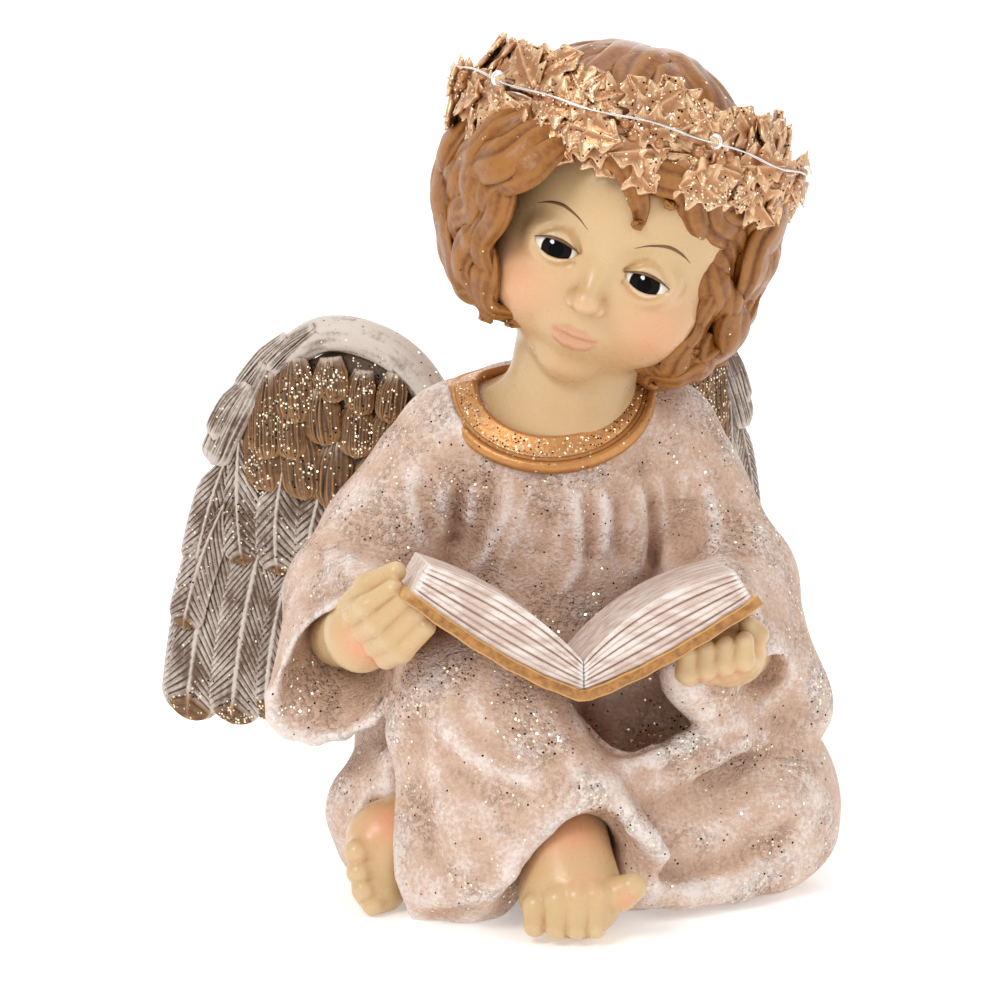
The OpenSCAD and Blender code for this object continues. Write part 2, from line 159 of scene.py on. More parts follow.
def skin(field, low, high, step, block=8):
    """Closed quad mesh of the surface where field is zero, by surface nets."""
    low = np.array(low, float)
    count = np.ceil((np.array(high) - low) / step / block).astype(int)
    size = block * step
    cells = grid(count)
    rough = field((low + (cells + 0.5) * size).astype(np.float32)).reshape(count)
    volume = rough
    for axis in range(3):
        volume = np.repeat(volume, block, axis)
    volume = np.ascontiguousarray(volume, np.float32)
    view = volume.reshape(count[0], block, count[1], block, count[2], block)
    view = view.transpose(0, 2, 4, 1, 3, 5)
    close = cells[np.abs(rough.reshape(-1)) < 1.3 * size]
    inner = grid((block,) * 3) * step
    for part in np.array_split(close, max(1, len(close) // 500)):
        points = (low + part[:, None] * size + inner).reshape(-1, 3).astype(np.float32)
        values = field(points).reshape(-1, block, block, block)
        view[part[:, 0], part[:, 1], part[:, 2]] = values
    return nets(volume, low, step)


def nets(volume, low, step):
    inside = volume < 0
    corners = grid((2, 2, 2))
    n = np.array(volume.shape) - 1

    def shifted(a, c):
        return a[c[0]:c[0] + n[0], c[1]:c[1] + n[1], c[2]:c[2] + n[2]]

    total = sum(shifted(inside, c).astype(np.int8) for c in corners)
    mixed = (total > 0) & (total < 8)
    cells = np.argwhere(mixed)
    index = np.full(mixed.shape, -1, np.int64)
    index[mixed] = np.arange(len(cells))
    place = np.zeros((len(cells), 3))
    hits = np.zeros(len(cells))
    for a in corners:
        for axis in range(3):
            if a[axis]:
                continue
            b = a.copy()
            b[axis] = 1
            va = volume[tuple((cells + a).T)].astype(float)
            vb = volume[tuple((cells + b).T)].astype(float)
            cut = (va < 0) != (vb < 0)
            t = np.where(cut, va / np.where(cut, va - vb, 1), 0)
            place[cut] += a + t[cut, None] * (b - a)
            hits += cut
    verts = low + step * (cells + place / hits[:, None])
    quads = []
    for axis in range(3):
        u, v = (axis + 1) % 3, (axis + 2) % 3
        here = np.moveaxis(inside, (axis, u, v), (0, 1, 2))
        ends = np.argwhere(here[:-1, 1:-1, 1:-1] != here[1:, 1:-1, 1:-1]) + [0, 1, 1]
        flip = here[ends[:, 0], ends[:, 1], ends[:, 2]]
        ids = []
        for du, dv in ((-1, -1), (0, -1), (0, 0), (-1, 0)):
            cell = np.zeros_like(ends)
            cell[:, axis], cell[:, u], cell[:, v] = ends[:, 0], ends[:, 1] + du, ends[:, 2] + dv
            ids.append(index[tuple(cell.T)])
        quad = np.stack(ids, -1)
        quads.append(np.where(flip[:, None], quad, quad[:, ::-1]))
    return verts, np.vstack(quads)


# ---- mesh helpers ----


def edges_of(quads):
    pairs = np.vstack([quads[:, [i, (i + 1) % 4]] for i in range(4)])
    return np.unique(np.sort(pairs, 1), axis=0)


def relax(verts, edges, rounds, amount=0.5):
    n = len(verts)
    a, b = edges.T
    degree = np.maximum(np.bincount(a, minlength=n) + np.bincount(b, minlength=n), 1)
    out = verts.copy()
    for _ in range(rounds):
        for axis in range(3):
            x = out[:, axis]
            mean = (np.bincount(a, x[b], n) + np.bincount(b, x[a], n)) / degree
            out[:, axis] = x + amount * (mean - x)
    return out


def normals_of(verts, quads):
    p = verts[quads]
    face = np.cross(p[:, 2] - p[:, 0], p[:, 3] - p[:, 1])
    out = np.zeros_like(verts)
    for axis in range(3):
        out[:, axis] = sum(np.bincount(quads[:, i], face[:, axis], len(verts)) for i in range(4))
    return out / np.maximum(np.linalg.norm(out, axis=1), 1e-12)[:, None]


def relief(verts, quads, rounds, scale):
    """How far each vertex stands out of its neighbourhood, 0.5 where it is level."""
    edges = edges_of(quads)
    soft = relax(verts, edges, rounds)
    proud = np.einsum("ij,ij->i", verts - soft, normals_of(verts, quads))
    return np.clip(0.5 + proud / scale, 0, 1)


# Rays out of a surface: along its normal and two directions across it
SKY_RAYS = ((1, 0, 0), (0.75, 0.8, 0), (0.75, -0.4, 0.7), (0.75, -0.4, -0.7))


def openness(verts, quads, reach):
    """Share of the sky that each vertex sees within reach: low in hollows and between parts, where
    shade falls, and used there as painted shade.
    """
    tree = BVHTree.FromPolygons(verts.tolist(), quads.tolist())
    normal = normals_of(verts, quads)
    spin = np.cross(normal, (0.31, 0.57, 0.76))
    spin /= np.linalg.norm(spin, axis=1, keepdims=True) + 1e-9
    other = np.cross(normal, spin)
    seen = np.zeros(len(verts))
    for a, b, c in SKY_RAYS:
        ray = a * normal + b * spin + c * other
        start = verts + 0.25 * normal
        hits = [tree.ray_cast(s, r, reach)[3] for s, r in zip(start.tolist(), ray.tolist())]
        seen += np.array([1.0 if h is None else h / reach for h in hits])
    return seen / len(SKY_RAYS)


def tube_frames(path, up):
    along = np.gradient(path, axis=0)
    along /= np.linalg.norm(along, axis=1)[:, None]
    side = np.cross(along, up)
    side /= np.linalg.norm(side, axis=1)[:, None]
    return along, side, np.cross(side, along)


def wall(n, m):
    """Quads between n neighbouring rings of m points."""
    i, j = np.arange(n - 1)[:, None] * m, np.arange(m)[None]
    k = (j + 1) % m
    return np.stack([i + j, i + k, i + m + k, i + m + j], -1).reshape(-1, 4)


def globe(rows, sides, pole=0.03):
    """Rings of a unit ball, open by the angle pole at each end."""
    t = np.linspace(pole, math.pi - pole, rows)[:, None]
    a = np.arange(sides)[None] * 2 * math.pi / sides
    return np.stack([np.sin(t) * np.cos(a), np.sin(t) * np.sin(a), np.cos(t) + 0 * a], -1)


def loft(rings):
    """Closed quads over rings of an even number of points, capped at both ends."""
    n, m = rings.shape[:2]
    sides = wall(n, m)
    c = np.arange(m // 2 - 1)
    cap = np.stack([c, m - 1 - c, m - 2 - c, c + 1], -1)
    return rings.reshape(-1, 3), np.vstack([sides, cap, cap[:, ::-1] + (n - 1) * m])


def smooth_path(stops, count):
    """Points evenly spread along a Catmull-Rom curve through stops."""
    s = np.asarray(stops, float)
    s = np.vstack([2 * s[0] - s[1], s, 2 * s[-1] - s[-2]])
    fine = []
    for a, b, c, d in zip(s[:-3], s[1:-2], s[2:-1], s[3:]):
        t = np.linspace(0, 1, 12, endpoint=False)[:, None]
        fine.append(0.5 * (2 * b + (c - a) * t + (2 * a - 5 * b + 4 * c - d) * t**2
                           + (3 * b - a - 3 * c + d) * t**3))
    fine = np.vstack(fine + [s[-2:-1]])
    run = np.concatenate([[0], np.cumsum(np.linalg.norm(np.diff(fine, axis=0), axis=1))])
    at = np.linspace(0, run[-1], count)
    return np.stack([np.interp(at, run, fine[:, a]) for a in range(3)], -1)


def tube(path, radius, up, sides=12, flat=1.0, shape=None):
    """Loft along a path. radius may vary along it; shape(angle, t) scales the section."""
    path = np.asarray(path, float)
    up = np.broadcast_to(np.asarray(up, float), path.shape)
    _, side, lift = tube_frames(path, up)
    t = np.linspace(0, 1, len(path))[:, None]
    angle = np.arange(sides)[None] * 2 * math.pi / sides
    r = np.broadcast_to(np.asarray(radius, float).reshape(-1, 1), (len(path), sides))
    r = r * (shape(angle, t) if shape else 1)
    x = (r * np.cos(angle))[..., None] * side[:, None]
    y = (r * np.sin(angle) * flat)[..., None] * lift[:, None]
    verts, quads = loft(path[:, None] + x + y)
    return verts, quads[:, ::-1]


def merge(parts):
    verts, quads, start = [], [], 0
    for v, q in parts:
        verts.append(v)
        quads.append(q + start)
        start += len(v)
    return np.vstack(verts), np.vstack(quads)


def add_piece(name, mesh, material, nodes=(), layers=None):
    verts, quads = mesh
    data = bpy.data.meshes.new(name)
    data.vertices.add(len(verts))
    data.vertices.foreach_set("co", metres(verts).astype(np.float32).ravel())
    data.loops.add(quads.size)
    data.loops.foreach_set("vertex_index", quads.astype(np.int32).ravel())
    data.polygons.add(len(quads))
    data.polygons.foreach_set("loop_start", np.arange(0, quads.size, 4, dtype=np.int32))
    data.polygons.foreach_set("use_smooth", np.ones(len(quads), bool))
    data.update(calc_edges=True)
    data.validate()
    for key, values in (layers or {}).items():
        layer = data.attributes.new(key, "FLOAT", "POINT")
        layer.data.foreach_set("value", np.asarray(values, np.float32))
    data.materials.append(material)
    piece = bpy.data.objects.new(name, data)
    bpy.context.scene.collection.objects.link(piece)
    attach(piece, "figure")
    if nodes:
        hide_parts(*nodes)


# ---- materials ----


class Paint:
    """A node material, built up from short calls that return sockets."""

    def __init__(self, name, **settings):
        self.material = bpy.data.materials.new(name)
        self.material.use_nodes = True
        self.tree = self.material.node_tree
        self.shader = self.tree.nodes["Principled BSDF"]
        self.coords = self.add("ShaderNodeTexCoord").outputs["Object"]
        for key, value in settings.items():
            self.set(key.replace("_", " "), value)

    def add(self, kind, inputs=(), **settings):
        node = self.tree.nodes.new(kind)
        for key, value in settings.items():
            setattr(node, key, value)
        for key, value in dict(inputs).items():
            self.plug(node.inputs[key], value)
        return node

    def plug(self, socket, value):
        if isinstance(value, bpy.types.NodeSocket):
            self.tree.links.new(value, socket)
        elif socket.type == "RGBA" and len(value) == 3:
            socket.default_value = (*value, 1)
        else:
            socket.default_value = value

    def set(self, name, value):
        self.plug(self.shader.inputs[name], value)

    def finish(self, colour, rough, normal):
        self.set("Base Color", colour)
        self.set("Roughness", rough)
        self.set("Normal", normal)

    def layer(self, name):
        return self.add("ShaderNodeAttribute", attribute_name=name).outputs["Fac"]

    def noise(self, size, detail=3, rough=0.55, stretch=None):
        """Noise whose features are about size millimetres across."""
        coords = self.coords
        if stretch:
            coords = self.add("ShaderNodeMapping", {"Vector": coords, "Scale": stretch}).outputs[0]
        node = self.add("ShaderNodeTexNoise", {"Vector": coords, "Scale": 1000 / size,
                                               "Detail": detail, "Roughness": rough})
        return node.outputs["Fac"]

    def math(self, kind, a, b):
        return self.add("ShaderNodeMath", {0: a, 1: b}, operation=kind).outputs[0]

    def ramp(self, value, low, high, start=0.0, end=1.0):
        node = self.add("ShaderNodeMapRange", {"Value": value, "From Min": low, "From Max": high,
                                               "To Min": start, "To Max": end})
        return node.outputs[0]

    def mix(self, factor, a, b):
        node = self.add("ShaderNodeMix", {0: factor, 6: a, 7: b}, data_type="RGBA")
        return node.outputs[2]

    def bump(self, height, distance):
        inputs = {"Height": height, "Distance": distance / 1000, "Strength": 1.0}
        return self.add("ShaderNodeBump", inputs).outputs[0]

    def vary(self, value, noise, amount):
        """The value, moved up and down by a noise."""
        swing = self.math("MULTIPLY", self.math("SUBTRACT", noise, 0.5), amount)
        return self.math("ADD", value, swing)

    def glitter(self, size, share):
        """Mask of scattered flakes, a random value for each, and a tilted normal."""
        cells = self.add("ShaderNodeTexVoronoi", {"Vector": self.coords, "Scale": 1000 / size})
        parts = self.add("ShaderNodeSeparateColor", {0: cells.outputs["Color"]})
        chosen = self.math("LESS_THAN", parts.outputs[0], share)
        small = self.math("LESS_THAN", cells.outputs["Distance"], 0.42)
        tilt = self.add("ShaderNodeVectorMath", {0: cells.outputs["Color"], 1: (0.5, 0.5, 0.5)},
                        operation="SUBTRACT").outputs[0]
        tilt = self.add("ShaderNodeVectorMath", {0: tilt, "Scale": 1.5},
                        operation="SCALE").outputs[0]
        up = self.add("ShaderNodeNewGeometry").outputs["Normal"]
        up = self.add("ShaderNodeVectorMath", {0: up, 1: tilt}).outputs[0]
        up = self.add("ShaderNodeVectorMath", {0: up}, operation="NORMALIZE").outputs[0]
        return self.math("MULTIPLY", chosen, small), parts.outputs[1], up

    def sprinkle(self, colour, normal, rough, size, share, metal=0.0):
        """Puts glitter flakes over a finish and plugs all of it into the shader."""
        mask, pick, up = self.glitter(size, share)
        flake = self.mix(self.math("GREATER_THAN", pick, 0.72), (0.95, 0.84, 0.62),
                         (0.07, 0.05, 0.045))
        self.set("Base Color", self.mix(mask, colour, flake))
        self.set("Metallic", self.math("MAXIMUM", mask, metal))
        self.set("Roughness", self.add("ShaderNodeMix", {0: mask, 2: rough, 3: 0.22}).outputs[0])
        turned = self.add("ShaderNodeMix", {0: mask, 4: normal, 5: up}, data_type="VECTOR")
        self.set("Normal", turned.outputs[1])


def rgb(text):
    """Linear colour of a web colour."""
    parts = [int(text[i:i + 2], 16) / 255 for i in (0, 2, 4)]
    return tuple(c / 12.92 if c <= 0.04045 else ((c + 0.055) / 1.055) ** 2.4 for c in parts)


def brushed_resin(name, base, deep, light, flakes):
    """Painted resin: dark in the hollows, dry-brushed light on the edges, with glitter."""
    p = Paint(name)
    wear_and_shade = p.layer("wear_and_shade")
    patch = p.noise(9, 4, 0.6)
    fine = p.noise(0.9, 4, 0.65)
    broken = p.vary(wear_and_shade, fine, 0.6)
    broken = p.vary(broken, patch, 0.5)
    colour = p.mix(p.ramp(broken, 0.46, 0.14), base, deep)
    colour = p.mix(p.ramp(broken, 0.49, 0.72, 0, 0.9), colour, light)
    grains = p.noise(0.6, 2, 0.5)
    crust = p.ramp(p.noise(1.2, 3, 0.6), 0.48, 0.7, 0, 2.2)
    crust = p.math("MULTIPLY", crust, p.ramp(p.noise(14, 2), 0.45, 0.6, 0.08, 0.9))
    normal = p.bump(p.math("ADD", crust, p.math("MULTIPLY", p.math("ADD", grains, fine), 0.7)), 0.3)
    cluster = p.math("MULTIPLY", p.ramp(p.noise(14, 2), 0.5, 0.68), flakes)
    share = p.math("ADD", cluster, flakes * 0.12)
    p.sprinkle(colour, normal, 0.62, 0.62, share)
    return p.material


ROBE = brushed_resin("robe_resin", rgb("CCAB95"), rgb("9A7460"), rgb("EADFD8"), 0.3)

# ---- robe ----

CUFF_RIGHT = [(-26, -37, 71), (-31, -36, 69), (-35, -34, 64.5), (-37, -31, 59), (-40.5, -28, 54),
              (-45, -25, 48.5), (-48, -22, 43), (-48, -20, 38), (-45, -20, 35), (-39.5, -22, 34),
              (-33, -25, 36), (-27.5, -28, 40), (-22.5, -32, 47), (-20, -35, 55), (-21, -37, 64)]
CUFF_LEFT = [(52, -30, 65), (56, -25, 57), (59.5, -20, 50), (63, -17, 45), (66, -15, 41),
             (67, -14, 37), (65, -15, 33.5), (60.5, -18, 32.5), (53, -24, 35), (46.5, -31, 41),
             (42.5, -36, 44.5), (39, -39, 49), (37, -41, 54), (40, -41, 62), (46, -37, 67)]
HEM = [(-18.5, -40, 2), (-13.5, -46, 7), (-7, -50, 8.5), (-2, -53, 10), (2.5, -55, 14),
       (5, -54.5, 18), (10, -53.5, 23), (14, -52, 27.5), (18, -50.5, 30.5), (22, -50, 30.5),
       (25, -51, 26.5), (27.5, -52, 22.5), (31, -51, 20), (33.5, -49, 15.5), (31.5, -47, 9)]
LAP_LIP = [(15, -40, 37.5), (20, -41, 34), (25, -41, 33), (32, -39.5, 34.5), (38, -37.5, 36.5),
           (44, -35, 39), (50, -31, 40.5)]
FAR_HEM = [(29, -44, 7), (39, -41, 5.5), (50, -34, 5), (59, -25, 6.5), (66, -14, 9.5),
           (68, -5, 15)]


def cuff(p, elbow, elbow_r, rim, depth):
    """Bell sleeve end: a fan from the elbow to the cuff's rim, hollowed out from the mouth."""
    rim = np.array(rim, float)
    mouth = rim.mean(0)
    shell = fan(p, 5, elbow, elbow_r, rim, 1.7)
    shell = blend(4, shell, limb(p, elbow, elbow_r, mouth + (np.array(elbow) - mouth) * 0.2, 10))
    shell = blend(1.5, shell, chain(p, np.vstack([rim, rim[:1]]), 1.7))
    inner = mouth + (np.array(elbow) - mouth) * depth
    outer = mouth + (mouth - np.array(elbow)) * 0.45
    wide = outer + (rim - mouth) * 0.92
    hollow = fan(p, 4, inner, 5, wide, 4.2)
    hollow = blend(4, hollow, limb(p, inner, 6, outer, 13))
    return shell, hollow


def robe_field(p):
    torso = blend(9, ball(p, (12, 9, 78), (25.5, 21.5, 27)), ball(p, (12, 12, 52), (26, 23, 26)),
                  limb(p, (-7, 7, 92), 12.5, (33, 12, 92), 12.5),
                  limb(p, (12, 10, 95), 17, (12, 14, 105), 13.5))
    seat = blend(10, ball(p, (8, 13, 22), (40, 30, 28)),
                 limb(p, (-10, -4, 28), 17, (-19, -10, 13), 18),
                 ball(p, (24, -20, 20), (24, 19, 14)))
    near = blend(8, limb(p, (4, 0, 38), 20, (-5, -30, 44), 15),
                 fan(p, 6, (-5, -30, 44), 13, HEM[:9], 2.2),
                 limb(p, (-5, -31, 40), 14, (-7, -37, 10), 13),
                 limb(p, (0, -36, 40), 11, (14, -40, 26), 10),
                 fan(p, 4, (12, -38, 30), 8, HEM[8:], 2.0))
    far = blend(8, limb(p, (26, 2, 26), 20, (55, -9, 20), 17.5),
                limb(p, (56, -16, 14), 15, (27, -30, 11), 13),
                chain(p, FAR_HEM, 3.2, 2))
    body = blend(7, torso, seat)
    body = blend(8, body, limb(p, (17, 28.5, 66), 6, (17, 28.5, 84), 6),
                 limb(p, (0, 22.5, 66), 6, (0, 22.5, 84), 6))
    body = blend(4, body, near)
    body = blend(4, body, far)
    body = carve(body, ball(p, (33.5, -25, 43), (14.5, 12, 8)), 4)
    flap = blend(3, chain(p, LAP_LIP, 2.2, 2),
                 chain(p, [(x, y + 3, z - 5) for x, y, z in LAP_LIP], 3.5, 3))
    body = blend(5, body, flap)
    arms = blend(7, limb(p, (-10, 7, 92), 13.2, (-25, 6, 70), 13.2),
                 limb(p, (-25, 6, 70), 13.2, (-31, 1, 60), 12.6),
                 limb(p, (35, 12, 92), 13, (48, 8, 66), 12.8))
    right_shell, right_hollow = cuff(p, (-31, 0, 59), 12.5, CUFF_RIGHT, 0.45)
    left_shell, _ = cuff(p, (49, 3, 61), 12.5, CUFF_LEFT, 0.3)
    left_shell = blend(6, left_shell, fan(p, 6, (50, -6, 54), 9,
                                          np.array(CUFF_LEFT[3:12]) + (-1, 2, 2), 4),
                       limb(p, (50, -8, 54), 11, (50, -26, 50), 8))
    left_hollow = limb(p, (56, -25, 49), 4.5, (60, -42, 42), 10.5)
    body = blend(4, body, arms)
    body = blend(2.5, body, right_shell, left_shell)
    body = carve(body, right_hollow, 1.5)
    body = carve(body, left_hollow, 4)
    ankle = blend(5, limb(p, (14, -38, 17), 9, (15, -60, 10), 13),
                  ball(p, (21, -56, 16), (9, 9, 11)))
    body = carve(body, ankle, 2)
    under = chain(p, [(x, y - 3, z - 7.5) for x, y, z in HEM[1:5]], 4.5)
    body = carve(body, under, 1.5)
    body = blend(1.5, body, chain(p, HEM, 1.5))
    body = carve(body, limb(p, (-27, -38, 2), 8, (-23, -26, 16), 7), 3)
    # skirt over the edge of the base plate
    q = np.abs(p[:, :2] - np.float32(PLATE_MID))
    outline = length(np.maximum(q - np.float32(PLATE_HALF), 0)) - PLATE_CORNER
    body = blend(5, body, np.maximum(outline - 3.2, p[:, 2] - 9))
    body = blend(6, body, np.maximum(outline - 0.8, p[:, 2] - 27.5))
    # flat seat of the collar
    up = np.float32([0, -math.sin(COLLAR_TILT), math.cos(COLLAR_TILT)])
    off = p - np.float32(NECKLINE)
    over = off @ up
    radial = length(off - over[:, None] * up)
    rear = np.maximum(off[:, 1] * up[2] - off[:, 2] * up[1], 0)
    over = over + COLLAR_DROP * rear
    body = blend(6, body, np.hypot(radial - 16.5, over + 5.8) - 4.6)
    body = carve(body, np.maximum(-over - 1.4, radial - 21.2 - 5 * np.clip(rear / 8, 0, 1)), 0.6)
    # battery compartment
    body = carve(body, np.maximum(outline, p[:, 2] - PLATE_TOP), 0.3)
    body = carve(body, np.maximum(outline + COMPARTMENT_WALL, p[:, 2] - COMPARTMENT_TOP), 0.3)
    return np.maximum(body, FLOOR_GAP - p[:, 2])


NECKLINE = (10.6, 2.6, 106)
COLLAR_TILT = math.radians(38)
NECK_BEND = 0.529  # how steeply the collar falls behind the neck
COLLAR_DROP = NECK_BEND * math.cos(COLLAR_TILT) / (1 - NECK_BEND * math.sin(COLLAR_TILT))
COLLAR_SIZE = 0.87  # of the CAD ring's width
PLATE_HALF, PLATE_CORNER = (28.2, 15), 10  # base plate, without its round corners
PLATE_TOP, COMPARTMENT_TOP, COMPARTMENT_WALL = 7.2, 24, 3

# Fold lines of the cloth: stops, height (negative for a valley) and half-width
FOLDS = [
    ([(-20, -38, 47), (-22, -41, 40), (-23, -43, 32), (-23.5, -44, 22), (-22, -43, 10),
      (-19, -42, 2)], 1.6, 2.4),
    ([(-17, -42, 47), (-18, -46, 36), (-16.5, -47, 21), (-12.5, -48, 10)], -1.6, 2.6),
    ([(-12, -46, 45.5), (-8.5, -49, 40), (-4, -51, 36.5), (3.5, -52, 33.5), (9.5, -50, 32)], 1.3,
     2.4),
    ([(-14, -46, 40), (-10, -49, 34), (-5, -51, 30), (2, -52, 27)], -1.1, 2.6),
    ([(-13, -46, 30), (-9, -50, 20), (-5, -52, 12)], 0.9, 2.6),
    ([(-6, -47, 51), (-3, -49, 45), (3, -50, 40), (5, -50, 37.5)], 0.6, 2.0),
    ([(6, -46, 52.5), (8.5, -48, 49.5), (12.5, -48, 41), (16.5, -48, 31.5)], 0.9, 2.2),
    ([(18, -36, 46), (21, -35, 38), (25, -34, 35), (31.5, -33, 37), (36, -31, 38)], -1.4, 2.0),
    ([(29, -44, 12), (39, -41, 10.5), (50, -34, 11), (59, -25, 12.5), (64, -14, 17)], -1.7, 2.6),
    ([(33, -40, 20), (42, -37, 18), (52, -30, 20), (60, -20, 25)], 0.8, 3.0),
    ([(-27.5, -30, 69), (-35, -24, 67.5), (-39.5, -16, 63.5), (-43, -8, 59)], -1.5, 2.2),
    ([(-30, -32, 74), (-34, -22, 73), (-38, -12, 71)], 1.0, 2.6),
    ([(-22, 0, 98), (-28, -2, 88), (-33, -6, 78)], 0.7, 3.0),
    ([(48, -2, 96), (53, -6, 84), (57, -10, 72)], 0.8, 3.0),
    ([(50, -12, 92), (51, -14, 80), (52, -18, 70)], -0.8, 2.6),
    ([(-19.5, 0, 89), (-16.5, -2, 71)], 0.8, 1.8), ([(-18, -2, 85), (-14.5, -3, 73)], -0.9, 1.7),
    ([(-12, -4, 86), (-12, -5, 73)], 0.8, 1.8), ([(-8.5, -6, 86), (-10, -8, 71)], -1.4, 1.9),
    ([(-5.5, -8, 86), (-7, -9, 77)], 1.0, 1.7),
         ([(-2.5, -10, 89), (-4, -11, 79), (-7, -10, 70)], -1.1, 1.7),
    ([(2, -12, 89), (1.5, -13, 81), (-2, -13, 73), (-6, -11, 67)], 1.2, 1.7),
    ([(7, -14, 88), (3.5, -14, 77), (0, -14, 68)], 0.9, 1.6),
    ([(10.5, -15, 83), (9, -15, 71)], -1.1, 2.0),
    ([(15, -15, 87), (17, -15, 79), (16.5, -15, 70), (12, -15, 62)], 1.3, 1.7),
    ([(18.5, -15, 85), (19, -15, 70)], -1.1, 1.6),
    ([(21.5, -15, 87), (22.5, -14, 80), (22, -14, 71)], 1.2, 1.6),
    ([(25.5, -14, 85), (26, -14, 70)], -1.1, 1.5),
    ([(28, -13, 89), (31, -14, 80), (30, -14, 71), (27.5, -14, 66)], 1.3, 1.7),
    ([(32.5, -12, 85), (33, -13, 68)], -1.3, 1.6),
    ([(34, -11, 89), (35.5, -12, 77), (36, -12, 65)], 1.0, 1.5),
    ([(39, -9, 90), (39, -9, 79)], 0.8, 1.6), ([(40.5, -8, 84), (40, -8, 68)], -1.5, 3.2),
    ([(44, -5, 87), (46, -6, 77), (45, -7, 71)], 1.0, 1.8),
    # back and sides
    ([(30, 34, 88), (33, 36, 70), (38, 38, 45), (44, 38, 15)], 2.2, 4),
    ([(20, 36, 70), (22, 40, 40), (24, 42, 12)], -2.2, 4),
         ([(10, 35, 72), (8, 40, 40), (4, 42, 12)], 2.4, 4),
    ([(-4, 30, 66), (-10, 35, 38), (-16, 36, 12)], -2.2, 4),
         ([(-14, 20, 60), (-24, 26, 34), (-30, 26, 10)], 2.2, 4),
    ([(-30, 4, 40), (-36, 6, 20), (-38, 6, 4)], 1.2, 3.0),
         ([(-26, -8, 36), (-32, -8, 20), (-35, -8, 4)], -0.8, 3.0),
    ([(52, 20, 52), (58, 18, 34), (62, 16, 10)], 1.2, 3.5),
         ([(46, 26, 50), (52, 26, 32), (54, 26, 10)], -1.2, 3.5),
]


def sight(points):
    """Place across the front view, and depth along it."""
    c, s = math.cos(VIEW_TILT), math.sin(VIEW_TILT)
    return np.stack([points[:, 0], points[:, 2] * c + points[:, 1] * s],
                    -1), points[:, 1] * c - points[:, 2] * s


def folded(verts, quads):
    """Raises the fold lines and sinks the valleys along the surface's normal."""
    normal = normals_of(verts, quads)
    flat, depth = sight(verts)
    lift = np.zeros(len(verts))
    for stops, height, width in FOLDS:
        curve = smooth_path(stops, 14) if len(stops) > 2 else np.linspace(*np.array(stops, float),
                                                                          8)
        front = curve[:, 1].mean() < 15
        if front:
            line, far = sight(curve)
            here, away = flat, np.abs(depth - far.mean())
            allowed = (away < 22) & (normal[:, 1] < 0.2)
        else:
            line, here = curve, verts
            allowed = normal[:, 1] > -0.4
        near = (allowed & (here >= line.min(0) - 4 * width).all(1)
                & (here <= line.max(0) + 4 * width).all(1))
        ids = np.flatnonzero(near)
        if not len(ids):
            continue
        q = here[ids]
        best = np.full(len(ids), 1e9)
        where = np.zeros(len(ids))
        for i, (a, b) in enumerate(zip(line[:-1], line[1:])):
            ab = b - a
            t = np.clip((q - a) @ ab / (ab @ ab), 0, 1)
            d = np.linalg.norm(q - a - t[:, None] * ab, axis=1)
            where = np.where(d < best, (i + t) / (len(line) - 1), where)
            best = np.minimum(best, d)
        fade = np.clip(np.minimum(where, 1 - where) * 5 + 0.15, 0, 1)
        lift[ids] += height * fade * np.exp(-(best / width) ** 2)
    return verts + normal * lift[:, None]


def make_robe():
    step = 0.75
    verts, quads = skin(robe_field, (-56, -62, -2), (80, 52, 120), step)
    edges = edges_of(quads)
    verts = relax(verts, edges, 2)
    verts = folded(verts, quads)
    floor = verts[:, 2] < 0.6
    verts = np.where(floor[:, None], verts, relax(verts, edges, 2))
    verts[:, 2] = np.maximum(verts[:, 2], FLOOR_GAP)
    wide = relief(verts, quads, 70, 4.6)
    fine = relief(verts, quads, 10, 1.3)
    add_piece("robe", (verts, quads), ROBE,
              ("robe_body", "right_sleeve", "left_sleeve"),
              {"wear_and_shade": 0.55 * wide + 0.45 * fine})


make_robe()

# ---- skin: head, hands and feet ----


def skin_paint():
    p = Paint("skin_resin")
    wear_and_shade = p.layer("wear_and_shade")
    cream = p.mix(p.noise(18, 2), rgb("D2B284"), rgb("C8A678"))
    colour = p.mix(p.ramp(wear_and_shade, 0.46, 0.2), cream, rgb("B98A58"))
    colour = p.mix(p.ramp(wear_and_shade, 0.6, 0.9, 0, 0.4), colour, rgb("F4E6CB"))
    colour = p.mix(p.math("MULTIPLY", p.layer("blush"), p.ramp(p.noise(4), 0.2, 0.6, 0.75, 1)),
                   colour, rgb("E39A78"))
    colour = p.mix(p.layer("lips"), colour, rgb("CB8168"))
    p.finish(colour, p.ramp(p.noise(2.5), 0.3, 0.7, 0.25, 0.34), p.bump(p.noise(1.2, 3), 0.05))
    p.set("Subsurface Weight", 0.05)
    p.set("Subsurface Radius", (0.004, 0.002, 0.001))
    return p.material


SKIN = skin_paint()

HEAD_MID = np.array([25.3, -4, 141.5])


def turned(roll, yaw, pitch):
    """Axes of the head: its right as seen, its top and its front, as columns."""
    cr, sr, cy, sy = math.cos(roll), math.sin(roll), math.cos(yaw), math.sin(yaw)
    cp, sp = math.cos(pitch), math.sin(pitch)
    axes = np.array([[1, 0, 0], [0, -sp, cp], [0, -cp, -sp]], float)
    lean = np.array([[cr, 0, sr], [0, 1, 0], [-sr, 0, cr]])
    spin = np.array([[cy, -sy, 0], [sy, cy, 0], [0, 0, 1]])
    return spin @ lean @ axes.T


HEAD_AXES = turned(math.radians(21), math.radians(-6), math.radians(6))


def on_head(q):
    """Head coordinates (right, up, forward) to the figure's frame."""
    return HEAD_MID + np.asarray(q, float) @ HEAD_AXES.T


EYE = np.array([10.1, -3.0, 17.2])
EYE_R = 7.2
LID_R = 7.9


